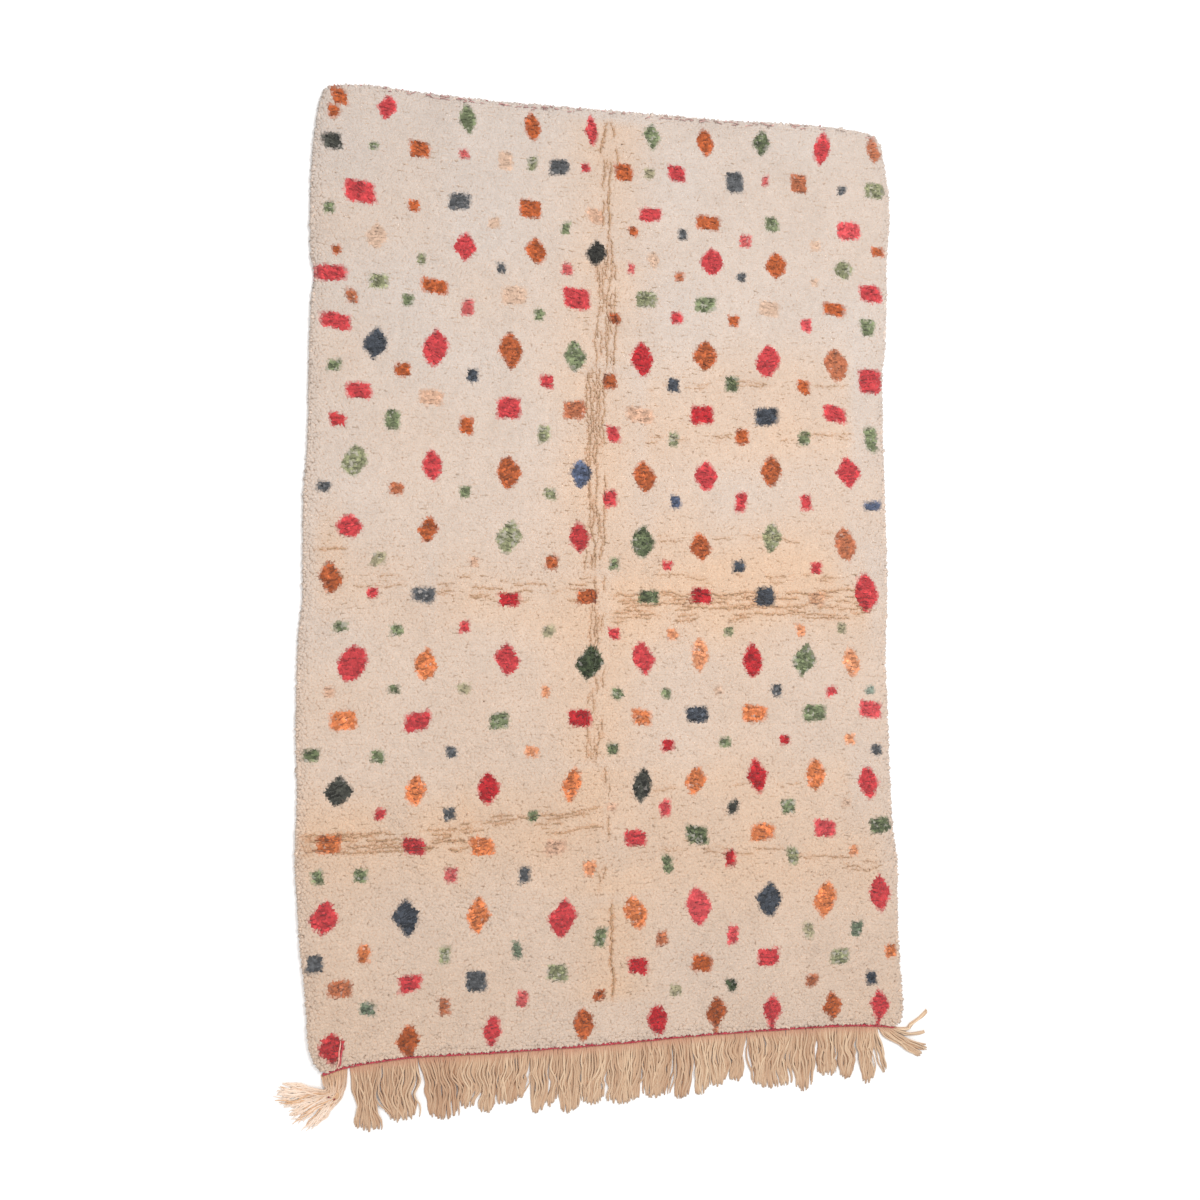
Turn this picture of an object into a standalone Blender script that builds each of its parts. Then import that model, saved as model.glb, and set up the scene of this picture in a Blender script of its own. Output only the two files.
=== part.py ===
"""Hand-knotted wool rug of the beni ourain kind, laid out flat.

A thick shaggy slab of knotted pile, a red cord twined along each short end, a fringe of loose warp
yarns at one end and a tassel of gathered yarns at that end's left corner.

Frame: metres, +Z up, floor at z = 0. The origin is the middle of the pile field, on its underside.
The length runs along Y, with the plain end at +Y and the fringe at -Y. X runs to the right.
"""

import math
import random

import bmesh
import bpy
from mathutils import Vector

MM = 0.001
GAP = 0.3 * MM                  # clearance between neighbouring pieces

# ---------------------------------------------------------------- driving sizes of the pile slab
PILE_TOP = 24 * MM              # height of the pile above the floor
BASE_HEIGHT = 9.5 * MM          # height of the dense roots, below the overhanging tips
RIM_HEIGHT = 13 * MM            # height at which the pile reaches out furthest
SHOULDER_HEIGHT = 19.5 * MM     # height at which the rounded rim meets the top
OVERHANG = 7 * MM               # how far the tips reach past the roots on three sides
FRINGE_END_OVERHANG = 1.5 * MM  # the same at the fringe end, where the red cord shows
SHOULDER_INSET = 9 * MM         # from the outermost reach back to the shoulder
LUMP_HEIGHT = 2.6 * MM          # random lumps of the tufted top
LUMP_STEP = 3.0 * MM            # every second lump stands higher by this
GRID_STEP = 46 * MM             # spacing of the lumps and of the locks at the rim
CORNER_STEPS = (14 * MM, 38 * MM)
CLOSEST_STEP = 9 * MM
LOCK_REACH = 9 * MM             # how far a lock of pile hangs out of the rim
LOCK_REACH_SPREAD = 4 * MM
LOCK_DROP = 4 * MM              # how far its tip lies below the middle of its root
LOCK_LEAN = 8 * MM              # how far its tip may lean along the rim
SHORTEST_LOCK = 30 * MM         # rim stretches shorter than this carry no lock

# Edges of the pile field in mm, read as distances from its middle. The rug is hand made, so no
# edge is straight. Columns: place along the edge, distance across.
LEFT_EDGE = (
    (-1216, -709), (-1204, -715), (-1190, -724), (-1172, -733), (-1146, -740), (-1041, -747),
    (-924, -761), (-807, -770), (-690, -776), (-572, -772), (-400, -777), (-180, -774), (-95, -765),
    (147, -766), (300, -757), (453, -757), (650, -752), (705, -745), (760, -755), (900, -757),
    (1000, -754), (1100, -744), (1147, -736), (1172, -727), (1185, -712),
)
RIGHT_EDGE = (
    (-1204, 757), (-1192, 763), (-1170, 768), (-1135, 770), (-1006, 763), (-876, 761), (-760, 763),
    (-700, 753), (-613, 748), (-349, 743), (-229, 740), (-122, 747), (39, 750), (188, 748),
    (324, 746), (529, 748), (600, 757), (738, 764), (862, 768), (950, 777), (1030, 776),
    (1102, 767), (1157, 758), (1178, 748), (1194, 732),
)
FRINGE_EDGE = (
    (-709, -1216), (-660, -1203), (-604, -1196), (-496, -1190), (-293, -1193), (12, -1192),
    (196, -1187), (461, -1187), (580, -1188), (700, -1195), (757, -1204),
)
PLAIN_EDGE = (
    (-712, 1185), (-661, 1191), (-616, 1195), (-507, 1189), (-228, 1186), (-32, 1190), (183, 1193),
    (328, 1195), (481, 1203), (637, 1204), (700, 1200), (732, 1194),
)

SHALLOW_CREASE = 3              # creases less deep than this, in mm, get no grid lines

# Creases left by folding, where the pile parts, in mm. Columns: name, the way the crease runs,
# its two ends along that way, its place across at each end, half its width and its depth.
CREASES = (
    ("lengthwise fold", "y", -1100, 1130, -8, -6, 16, 6.0),
    ("middle fold, right", "x", 0, 720, -88, -70, 18, 5.5),
    ("middle fold, left", "x", -740, -60, -28, -34, 16, 3.5),
    ("lower fold, left", "x", -765, -20, -700, -650, 20, 5.5),
    ("lower fold, right", "x", 20, 740, -690, -770, 20, 3.0),
    ("upper wrinkle, right", "x", 60, 700, 330, 352, 18, 2.5),
)

# ---------------------------------------------------------------- driving sizes of the red cords
CORD_RADIUS = 4 * MM
CORD_SIDES = 6
CORD_CENTRE = CORD_RADIUS * math.cos(math.pi / CORD_SIDES)   # it lies on one of its flat sides

# ---------------------------------------------------------------- driving sizes of the fringe
STRIP_DEPTH = 6 * MM
STRIP_HEIGHT = 4 * MM
STRAND_PITCH = 11 * MM
STRAND_WIDTH = 7 * MM
STRAND_TIP_WIDTH = 4 * MM
STRAND_HEIGHT = 5 * MM
STRAND_TIP_HEIGHT = 2.5 * MM
STRAND_STEPS = 5
STRAND_WAVE = 2.2 * MM
STRAND_WAVE_LENGTH = 150 * MM   # how far along the fringe the waves change
STRAND_WAVES = 0.9              # waves along one strand
STRAND_LENGTH_SPREAD = 7 * MM

# Bunches of the fringe in mm, from left to right. Columns: first and last root along the end,
# first and last tip as x and y, and how far the yarns run down before they lean to their tips.
BUNCHES = (
    (-648, -578, -634, -1350, -574, -1360, 70),
    (-578, -488, -566, -1334, -492, -1344, 60),
    (-488, -408, -458, -1338, -398, -1346, 45),
    (-408, -340, -388, -1318, -348, -1322, 60),
    (-340, -290, -335, -1338, -300, -1334, 60),
    (-290, -212, -290, -1326, -226, -1310, 60),
    (-212, -166, -212, -1350, -176, -1346, 60),
    (-166, -140, -168, -1334, -149, -1332, 60),
    (-140, -82, -138, -1350, -94, -1356, 70),
    (-82, -18, -84, -1336, -32, -1338, 60),
    (-18, 72, -18, -1342, 64, -1340, 60),
    (72, 150, 76, -1332, 142, -1334, 60),
    (150, 196, 154, -1344, 192, -1338, 60),
    (196, 244, 204, -1338, 240, -1330, 60),
    (244, 298, 252, -1322, 292, -1314, 60),
    (298, 346, 300, -1308, 330, -1310, 50),
    (346, 470, 362, -1328, 462, -1336, 50),
    (470, 530, 478, -1350, 520, -1344, 50),
    (530, 590, 534, -1312, 586, -1316, 60),
    (590, 648, 596, -1326, 636, -1322, 60),
    (648, 692, 658, -1344, 692, -1336, 60),
    (692, 704, 716, -1324, 728, -1316, 50),
    (704, 736, 814, -1296, 848, -1266, 62),
    (736, 746, 850, -1244, 850, -1244, 48),
    (746, 757, 838, -1176, 838, -1176, 28),
)

# ---------------------------------------------------------------- driving sizes of the tassel
TASSEL_STRANDS = 11
TASSEL_ROOTS = (-706, -654)         # first and last root along the red cord, in mm
TASSEL_ROOT_HEIGHT = 7 * MM
# Stations of the gathered head in mm: inner end x and y, outer end x and y, and height.
TASSEL_HEAD = (
    (-700, -1240, -655, -1237, 12),
    (-694, -1250, -664, -1268, 13),
    (-694, -1254, -677, -1288, 9),
)
TASSEL_FAN_CENTRE = (-640, -1250)   # the yarns fan out as if from here
TASSEL_FIRST_ANGLE = 174.0
TASSEL_LAST_ANGLE = 222.0
TASSEL_FIRST_LENGTH = 0.186         # from the fan's centre to the first and last tip, in metres
TASSEL_LAST_LENGTH = 0.148
TASSEL_LENGTH_SPREAD = 0.012
TASSEL_STRAND_WIDTH = 5.2 * MM
TASSEL_FILL = 0.72                  # share of the fan that the yarns fill near the head
TASSEL_STEPS = 5


# ---------------------------------------------------------------- curves through tables
def smooth_value(rows, place):
    """Height of a smooth curve through a table of (place, value) rows, in the table's units."""
    last = len(rows) - 1
    place = min(max(place, rows[0][0]), rows[last][0])
    k = 0
    while k < last - 1 and place > rows[k + 1][0]:
        k += 1

    def slope(i):
        low, high = max(i - 1, 0), min(i + 1, last)
        return (rows[high][1] - rows[low][1]) / (rows[high][0] - rows[low][0])

    span = rows[k + 1][0] - rows[k][0]
    t = (place - rows[k][0]) / span
    return (
        (2 * t**3 - 3 * t**2 + 1) * rows[k][1]
        + (t**3 - 2 * t**2 + t) * span * slope(k)
        + (3 * t**2 - 2 * t**3) * rows[k + 1][1]
        + (t**3 - t**2) * span * slope(k + 1)
    )


def edge_point(rows, share, runs_along):
    """Point on an edge, at a share of its length from its low end."""
    along = rows[0][0] + share * (rows[-1][0] - rows[0][0])
    across = smooth_value(rows, along)
    if runs_along == "x":
        return Vector((along, across)) * MM
    return Vector((across, along)) * MM


def field_point(u, v):
    """Point of the pile field at shares u across and v along, blended from its four edges."""
    low, high = edge_point(FRINGE_EDGE, u, "x"), edge_point(PLAIN_EDGE, u, "x")
    left, right = edge_point(LEFT_EDGE, v, "y"), edge_point(RIGHT_EDGE, v, "y")
    corners = (
        (1 - u) * (1 - v) * edge_point(FRINGE_EDGE, 0, "x")
        + u * (1 - v) * edge_point(FRINGE_EDGE, 1, "x")
        + (1 - u) * v * edge_point(PLAIN_EDGE, 0, "x")
        + u * v * edge_point(PLAIN_EDGE, 1, "x")
    )
    return (1 - v) * low + v * high + (1 - u) * left + u * right - corners


def stations(low, high, extra):
    """Shares from 0 to 1 along a side: even steps, finer at its corners and at the creases."""
    length = high - low
    count = round(length / GRID_STEP)
    places = [0.0, length] + [place - low for place in extra]
    for step in CORNER_STEPS:
        places += [step, length - step]
    for k in range(1, count):
        place = length * k / count
        if min(abs(place - other) for other in places) > 2 * CLOSEST_STEP:
            places.append(place)
    return [place / length for place in sorted(places)]


# ---------------------------------------------------------------- pile slab
def crease_depth(x, y):
    """How far the parted pile sinks at a point, in metres."""
    depth = 0.0
    for _, way, first, last, across_first, across_last, half_width, full_depth in CREASES:
        along, across = (y, x) if way == "y" else (x, y)
        share = (along / MM - first) / (last - first)
        if not 0 <= share <= 1:
            continue
        middle = across_first + share * (across_last - across_first)
        off = abs(across / MM - middle) / half_width
        if off < 1:
            depth = max(depth, full_depth * MM * (1 - off**2))
    return depth


def crease_stations(way):
    """Places of the grid lines that follow the creases running one way: valley and both banks."""
    places = []
    for _, crease_way, _, _, across_first, across_last, half_width, full_depth in CREASES:
        if crease_way != way or full_depth < SHALLOW_CREASE:
            continue
        middle = 0.5 * (across_first + across_last)
        places += [(middle - half_width) * MM, middle * MM, (middle + half_width) * MM]
    return places


def add_ring(bm, points, height):
    return [bm.verts.new((p.x, p.y, height)) for p in points]


def outward_offsets(ring):
    """Unit vectors pointing out of a ring of points that runs anticlockwise."""
    normals = []
    for k, point in enumerate(ring):
        ahead = ring[(k + 1) % len(ring)] - ring[k - 1]
        normals.append(Vector((ahead.y, -ahead.x)).normalized())
    return normals


def build_pile_slab():
    """The knotted pile: lumpy on top, flat below, with locks of wool hanging out of its rim."""
    rng = random.Random(11)
    columns = stations(FRINGE_EDGE[0][0] * MM, FRINGE_EDGE[-1][0] * MM, crease_stations("y"))
    rows = stations(LEFT_EDGE[0][0] * MM, LEFT_EDGE[-1][0] * MM, crease_stations("x"))
    last_column, last_row = len(columns) - 1, len(rows) - 1

    rim_cells = [(i, 0) for i in range(last_column)]
    rim_cells += [(last_column, j) for j in range(last_row)]
    rim_cells += [(i, last_row) for i in range(last_column, 0, -1)]
    rim_cells += [(0, j) for j in range(last_row, 0, -1)]
    reach = [field_point(columns[i], rows[j]) for i, j in rim_cells]
    normals = outward_offsets(reach)
    overhangs = [FRINGE_END_OVERHANG if j == 0 else OVERHANG for _, j in rim_cells]
    base = [p - n * o for p, n, o in zip(reach, normals, overhangs)]

    bm = bmesh.new()
    foot = add_ring(bm, base, 0.0)
    roots = add_ring(bm, base, BASE_HEIGHT)
    rim = add_ring(bm, reach, RIM_HEIGHT)
    shoulder = {}
    for cell, point, normal in zip(rim_cells, reach, normals):
        inner = point - normal * SHOULDER_INSET
        height = SHOULDER_HEIGHT + rng.uniform(-1, 1) * 0.5 * LUMP_HEIGHT
        height -= 0.5 * crease_depth(inner.x, inner.y)
        shoulder[cell] = bm.verts.new((inner.x, inner.y, height))

    top = dict(shoulder)
    for i in range(1, last_column):
        for j in range(1, last_row):
            point = field_point(columns[i], rows[j])
            height = PILE_TOP + rng.uniform(-1, 1) * LUMP_HEIGHT + (i + j) % 2 * LUMP_STEP
            height -= crease_depth(point.x, point.y)
            top[i, j] = bm.verts.new((point.x, point.y, height))
    for i in range(last_column):
        for j in range(last_row):
            bm.faces.new((top[i, j], top[i + 1, j], top[i + 1, j + 1], top[i, j + 1]))

    # Walls: dense roots, the underside of the overhang, and the rim with its locks.
    count = len(rim_cells)
    for k, cell in enumerate(rim_cells):
        nxt = (k + 1) % count
        bm.faces.new((foot[k], foot[nxt], roots[nxt], roots[k]))
        bm.faces.new((roots[k], roots[nxt], rim[nxt], rim[k]))
        ring = (rim[k], rim[nxt], shoulder[rim_cells[nxt]], shoulder[cell])
        wide_enough = (reach[nxt] - reach[k]).length > SHORTEST_LOCK
        on_fringe_end = cell[1] == 0 and rim_cells[nxt][1] == 0
        if on_fringe_end or not wide_enough:
            bm.faces.new(ring)
            continue
        middle = sum((v.co for v in ring), Vector()) / 4
        out = (normals[k] + normals[nxt]).normalized()
        along = (reach[nxt] - reach[k]).normalized()
        push = out * (LOCK_REACH + rng.uniform(-1, 1) * LOCK_REACH_SPREAD)
        push += along * rng.uniform(-1, 1) * LOCK_LEAN
        tip = bm.verts.new(middle + Vector((push.x, push.y, -LOCK_DROP)))
        for a, b in zip(ring, ring[1:] + ring[:1]):
            bm.faces.new((a, b, tip))

    # Flat underside: a fan at each end and one strip across for each row between them.
    lowest = dict(zip(rim_cells, foot))
    for i in range(last_column):
        bm.faces.new((lowest[i + 1, 0], lowest[i, 0], lowest[0, 1]))
        bm.faces.new((lowest[i, last_row], lowest[i + 1, last_row], lowest[0, last_row - 1]))
    bm.faces.new((lowest[last_column, 0], lowest[0, 1], lowest[last_column, 1]))
    bm.faces.new(
        (lowest[last_column, last_row], lowest[last_column, last_row - 1], lowest[0, last_row - 1])
    )
    for j in range(1, last_row - 1):
        bm.faces.new(
            (lowest[last_column, j], lowest[0, j], lowest[0, j + 1], lowest[last_column, j + 1])
        )
    finish_piece(bm, "pile_slab", "cream_wool")
    fringe_end = [base[k] for k, cell in enumerate(rim_cells) if cell[1] == 0]
    plain_end = [base[k] for k, cell in enumerate(rim_cells) if cell[1] == last_row]
    return fringe_end, plain_end


# ---------------------------------------------------------------- red end cords
def offset_line(points, distance):
    """The points moved to their right, seen along the line, so that each stretch stays parallel."""
    moved = []
    for k, point in enumerate(points):
        before = (point - points[k - 1]).normalized() if k else None
        after = (points[k + 1] - point).normalized() if k < len(points) - 1 else None
        before, after = before or after, after or before
        mean = (before + after).normalized()
        side = Vector((mean.y, -mean.x))
        moved.append(point + side * distance / max(mean.dot(after), 0.5))
    return moved


def build_cord(name, end_points):
    """A red cord twined along one short end, lying against the roots of the pile."""
    centre = offset_line(end_points, CORD_RADIUS + GAP)
    bm = bmesh.new()
    rings = []
    for k, point in enumerate(centre):
        before, after = centre[max(k - 1, 0)], centre[min(k + 1, len(centre) - 1)]
        ahead = (after - before).normalized()
        side = Vector((ahead.y, -ahead.x))
        ring = []
        for n in range(CORD_SIDES):
            turn = 2 * math.pi * n / CORD_SIDES
            across = point + side * CORD_RADIUS * math.cos(turn)
            ring.append(bm.verts.new((*across, CORD_CENTRE + CORD_RADIUS * math.sin(turn))))
        rings.append(ring)
    for first, second in zip(rings, rings[1:]):
        for n in range(CORD_SIDES):
            m = (n + 1) % CORD_SIDES
            bm.faces.new((first[n], first[m], second[m], second[n]))
    bm.faces.new(rings[0])
    bm.faces.new(rings[-1])
    finish_piece(bm, name, "red_wool")
    return centre


# ---------------------------------------------------------------- fringe and tassel
def build_strands(name, backing, strands):
    """Free strands that share one backing, all lying on the floor.

    backing: stations of the fused part, each a list of points across and a height.
    strands: for each column of the backing, a list of (left point, right point, height).
    """
    bm = bmesh.new()
    low = [[bm.verts.new((p.x, p.y, 0.0)) for p in points] for points, _ in backing]
    high = [[bm.verts.new((p.x, p.y, height)) for p in points] for points, height in backing]
    columns = len(backing[0][0]) - 1
    for s in range(len(backing) - 1):
        for i in range(columns):
            bm.faces.new((high[s][i], high[s][i + 1], high[s + 1][i + 1], high[s + 1][i]))
            bm.faces.new((low[s][i + 1], low[s][i], low[s + 1][i], low[s + 1][i + 1]))
        for i, flip in ((0, False), (columns, True)):
            side = (low[s][i], high[s][i], high[s + 1][i], low[s + 1][i])
            bm.faces.new(side[::-1] if flip else side)
    for i in range(columns):
        bm.faces.new((low[0][i], low[0][i + 1], high[0][i + 1], high[0][i]))
        ring = (low[-1][i], low[-1][i + 1], high[-1][i + 1], high[-1][i])
        for left, right, height in strands[i]:
            corners = ((left, 0.0), (right, 0.0), (right, height), (left, height))
            following = tuple(bm.verts.new((p.x, p.y, z)) for p, z in corners)
            for n in range(4):
                m = (n + 1) % 4
                bm.faces.new((ring[n], ring[m], following[m], following[n]))
            ring = following
        bm.faces.new(ring)
    finish_piece(bm, name, "fringe_wool")


def beside_cord(cord_line, places):
    """Points at the given x in mm that lie against the outer side of the red cord."""
    points = []
    for place in places:
        k = 0
        while k < len(cord_line) - 2 and place * MM > cord_line[k + 1].x:
            k += 1
        start, end = cord_line[k], cord_line[k + 1]
        points.append(start + (end - start) * (place * MM - start.x) / (end.x - start.x))
    return offset_line(points, CORD_RADIUS + GAP)


def bezier(start, knee, tip, t):
    return start * (1 - t) ** 2 + knee * 2 * t * (1 - t) + tip * t**2


def strand_sections(path, width, tip_width, height, tip_height):
    """Left point, right point and height at each step of a strand's path after its root."""
    sections = []
    last = len(path) - 1
    for k in range(1, last + 1):
        ahead = (path[min(k + 1, last)] - path[k - 1]).normalized()
        side = Vector((-ahead.y, ahead.x))
        share = k / last
        half = 0.5 * (width + (tip_width - width) * share**2)
        tall = height + (tip_height - height) * share**2
        sections.append((path[k] - side * half, path[k] + side * half, tall))
    return sections


def build_fringe(cord_line):
    """A narrow strip behind the red cord, with the loose warp yarns running out of it."""
    rng = random.Random(23)
    first, last = BUNCHES[0][0], BUNCHES[-1][1]
    count = round((last - first) * MM / STRAND_PITCH)
    places = [first + (last - first) * k / count for k in range(count + 1)]
    inner = beside_cord(cord_line, places)
    outer = offset_line(inner, STRIP_DEPTH)

    strands = []
    for k in range(count):
        root = (outer[k] + outer[k + 1]) / 2
        middle = 0.5 * (places[k] + places[k + 1])
        bunch = [row for row in BUNCHES if row[0] <= middle <= row[1]][0]
        root_first, root_last, x_first, y_first, x_last, y_last, run_down = bunch
        share = (middle - root_first) / (root_last - root_first)
        tip = Vector((x_first + share * (x_last - x_first), y_first + share * (y_last - y_first)))
        tip = tip * MM + Vector((0, rng.uniform(-1, 1) * STRAND_LENGTH_SPREAD))
        knee = root - Vector((0, run_down * MM))
        phase = root.x / STRAND_WAVE_LENGTH
        path = []
        for step in range(STRAND_STEPS + 1):
            t = step / STRAND_STEPS
            wave = STRAND_WAVE * math.sin(math.tau * (phase + STRAND_WAVES * t))
            wave *= math.sin(math.pi * t)
            path.append(bezier(root, knee, tip, t) + Vector((wave, 0)))
        strands.append(
            strand_sections(path, STRAND_WIDTH, STRAND_TIP_WIDTH, STRAND_HEIGHT, STRAND_TIP_HEIGHT)
        )
    build_strands("fringe", [(inner, STRIP_HEIGHT), (outer, STRIP_HEIGHT)], strands)


def build_tassel(cord_line):
    """The gathered corner yarns: a bent head with its strands fanned out to the left."""
    rng = random.Random(5)
    first, last = TASSEL_ROOTS
    places = [first + (last - first) * k / TASSEL_STRANDS for k in range(TASSEL_STRANDS + 1)]
    backing = [(beside_cord(cord_line, places), TASSEL_ROOT_HEIGHT)]
    for inner_x, inner_y, outer_x, outer_y, height in TASSEL_HEAD:
        inner, outer = Vector((inner_x, inner_y)) * MM, Vector((outer_x, outer_y)) * MM
        points = [inner.lerp(outer, k / TASSEL_STRANDS) for k in range(TASSEL_STRANDS + 1)]
        backing.append((points, height * MM))
    neck = backing[-1][0]
    centre = Vector(TASSEL_FAN_CENTRE) * MM
    strands = []
    for k in range(TASSEL_STRANDS):
        share = (k + 0.5) / TASSEL_STRANDS
        angle = TASSEL_FIRST_ANGLE + share * (TASSEL_LAST_ANGLE - TASSEL_FIRST_ANGLE)
        length = TASSEL_FIRST_LENGTH + share * (TASSEL_LAST_LENGTH - TASSEL_FIRST_LENGTH)
        length += rng.uniform(-1, 1) * TASSEL_LENGTH_SPREAD
        away = Vector((math.cos(math.radians(angle)), math.sin(math.radians(angle))))
        root = (neck[k] + neck[k + 1]) / 2
        tip = centre + away * length
        path = [root.lerp(tip, step / TASSEL_STEPS) for step in range(TASSEL_STEPS + 1)]
        root_pitch = (neck[k + 1] - neck[k]).length
        sections = []
        side = Vector((-away.y, away.x))
        for step in range(1, TASSEL_STEPS + 1):
            t = step / TASSEL_STEPS
            pitch = root_pitch + t * (math.radians(TASSEL_LAST_ANGLE - TASSEL_FIRST_ANGLE)
                                      / TASSEL_STRANDS * length - root_pitch)
            half = 0.5 * min(TASSEL_STRAND_WIDTH, TASSEL_FILL * pitch)
            tall = STRAND_HEIGHT + (STRAND_TIP_HEIGHT - STRAND_HEIGHT) * t
            sections.append((path[step] - side * half, path[step] + side * half, tall))
        strands.append(sections)
    build_strands("corner_tassel", backing, strands)


# ---------------------------------------------------------------- materials and scene
MATERIALS = {
    # name: linear colour and roughness
    "cream_wool": ((0.78, 0.67, 0.55), 0.95),
    "red_wool": ((0.46, 0.035, 0.06), 0.9),
    "fringe_wool": ((0.68, 0.53, 0.36), 0.92),
}


def make_material(name):
    colour, roughness = MATERIALS[name]
    material = bpy.data.materials.new(name)
    material.use_nodes = True
    shader = material.node_tree.nodes["Principled BSDF"]
    shader.inputs["Base Color"].default_value = (*colour, 1)
    shader.inputs["Roughness"].default_value = roughness
    shader.inputs["Metallic"].default_value = 0
    return material


def finish_piece(bm, name, material_name):
    """Turn a closed bmesh into a named object with a material of its own."""
    bmesh.ops.recalc_face_normals(bm, faces=bm.faces)
    mesh = bpy.data.meshes.new(name)
    bm.to_mesh(mesh)
    bm.free()
    piece = bpy.data.objects.new(name, mesh)
    mesh.materials.append(make_material(material_name))
    bpy.context.scene.collection.objects.link(piece)


def main():
    for item in list(bpy.data.objects):
        bpy.data.objects.remove(item)
    fringe_end, plain_end = build_pile_slab()
    cord_line = build_cord("fringe_end_cord", fringe_end)
    build_cord("plain_end_cord", plain_end)
    build_fringe(cord_line)
    build_tassel(cord_line)


main()
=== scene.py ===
"""Looks of the hand-knotted wool rug: knotted pile, red twined ends, fringe yarns and corner tassel.

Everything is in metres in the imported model's frame: +Z up, floor at z = 0, the fringe towards -Y.
"""

import math

import bpy
import numpy as np
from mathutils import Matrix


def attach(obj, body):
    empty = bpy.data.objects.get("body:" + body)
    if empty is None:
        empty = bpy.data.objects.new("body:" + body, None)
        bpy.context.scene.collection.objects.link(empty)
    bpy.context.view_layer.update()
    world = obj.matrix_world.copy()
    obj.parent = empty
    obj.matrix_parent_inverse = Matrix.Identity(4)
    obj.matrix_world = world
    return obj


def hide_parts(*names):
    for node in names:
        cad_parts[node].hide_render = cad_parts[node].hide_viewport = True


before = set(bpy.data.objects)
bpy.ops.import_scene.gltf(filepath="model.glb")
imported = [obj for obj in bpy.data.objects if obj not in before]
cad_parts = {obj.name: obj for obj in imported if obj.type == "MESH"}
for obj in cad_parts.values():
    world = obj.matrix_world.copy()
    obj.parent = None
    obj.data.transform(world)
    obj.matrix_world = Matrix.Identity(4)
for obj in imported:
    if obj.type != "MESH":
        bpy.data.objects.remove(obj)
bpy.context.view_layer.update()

MM = 0.001
CM = 0.01
TAU = 2 * math.pi
UP = np.array((0, 0, 1.0))


# ================================================================ the rug's outline, as in the solids
# Edges of the pile field in mm. Columns: place along the edge, distance across.
LEFT_EDGE = (
    (-1216, -709), (-1204, -715), (-1190, -724), (-1172, -733), (-1146, -740), (-1041, -747),
    (-924, -761), (-807, -770), (-690, -776), (-572, -772), (-400, -777), (-180, -774), (-95, -765),
    (147, -766), (300, -757), (453, -757), (650, -752), (705, -745), (760, -755), (900, -757),
    (1000, -754), (1100, -744), (1147, -736), (1172, -727), (1185, -712),
)
RIGHT_EDGE = (
    (-1204, 757), (-1192, 763), (-1170, 768), (-1135, 770), (-1006, 763), (-876, 761), (-760, 763),
    (-700, 753), (-613, 748), (-349, 743), (-229, 740), (-122, 747), (39, 750), (188, 748),
    (324, 746), (529, 748), (600, 757), (738, 764), (862, 768), (950, 777), (1030, 776),
    (1102, 767), (1157, 758), (1178, 748), (1194, 732),
)
FRINGE_EDGE = (
    (-709, -1216), (-660, -1203), (-604, -1196), (-496, -1190), (-293, -1193), (12, -1192),
    (196, -1187), (461, -1187), (580, -1188), (700, -1195), (757, -1204),
)
PLAIN_EDGE = (
    (-712, 1185), (-661, 1191), (-616, 1195), (-507, 1189), (-228, 1186), (-32, 1190), (183, 1193),
    (328, 1195), (481, 1203), (637, 1204), (700, 1200), (732, 1194),
)
FIELD_WIDTH = 1.51
FIELD_LENGTH = 2.39
HALF_WIDTH = FIELD_WIDTH / 2
HALF_LENGTH = FIELD_LENGTH / 2

PILE_TOP = 24 * MM
OVERHANG = 7 * MM               # from the woven roots to the furthest reach of the tips
CORD_OFFSET = 2.8 * MM          # from the pile's reach at the fringe end to the red cord's middle


def table_curve(rows):
    """A smooth curve through rows of place and value in mm.

    Returns a function that reads it in metres, and its first and last place.
    """
    places = np.array([row[0] for row in rows], float) * MM
    values = np.array([row[1] for row in rows], float) * MM
    slopes = np.empty(len(rows))
    slopes[1:-1] = (values[2:] - values[:-2]) / (places[2:] - places[:-2])
    slopes[0] = (values[1] - values[0]) / (places[1] - places[0])
    slopes[-1] = (values[-1] - values[-2]) / (places[-1] - places[-2])

    def read(at):
        at = np.clip(at, places[0], places[-1])
        k = np.clip(np.searchsorted(places, at) - 1, 0, len(rows) - 2)
        span = places[k + 1] - places[k]
        t = (at - places[k]) / span
        return (
            (2 * t**3 - 3 * t**2 + 1) * values[k]
            + (t**3 - 2 * t**2 + t) * span * slopes[k]
            + (3 * t**2 - 2 * t**3) * values[k + 1]
            + (t**3 - t**2) * span * slopes[k + 1]
        )

    return read, places[0], places[-1]


LEFT, RIGHT, LOW, HIGH = (
    table_curve(rows) for rows in (LEFT_EDGE, RIGHT_EDGE, FRINGE_EDGE, PLAIN_EDGE)
)


def edge_points(edge, share, runs_along):
    """Points at shares of the length of an edge that runs along x or y, as rows of x and y."""
    read, first, last = edge
    along = first + np.asarray(share, float) * (last - first)
    across = read(along)
    pair = (along, across) if runs_along == "x" else (across, along)
    return np.stack(pair, axis=-1)


def field_points(u, v):
    """Points of the pile field at shares u across and v along, blended from its four edges."""
    u, v = np.asarray(u, float), np.asarray(v, float)
    uu, vv = u[..., None], v[..., None]
    corners = [edge_points(edge, share, "x") for edge in (LOW, HIGH) for share in (0, 1)]
    blend = (
        (1 - vv) * edge_points(LOW, u, "x") + vv * edge_points(HIGH, u, "x")
        + (1 - uu) * edge_points(LEFT, v, "y") + uu * edge_points(RIGHT, v, "y")
    )
    blend -= (1 - uu) * (1 - vv) * corners[0] + uu * (1 - vv) * corners[1]
    blend -= (1 - uu) * vv * corners[2] + uu * vv * corners[3]
    return blend


# ================================================================ smooth random fields
NOISE_TABLE = 97


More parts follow.
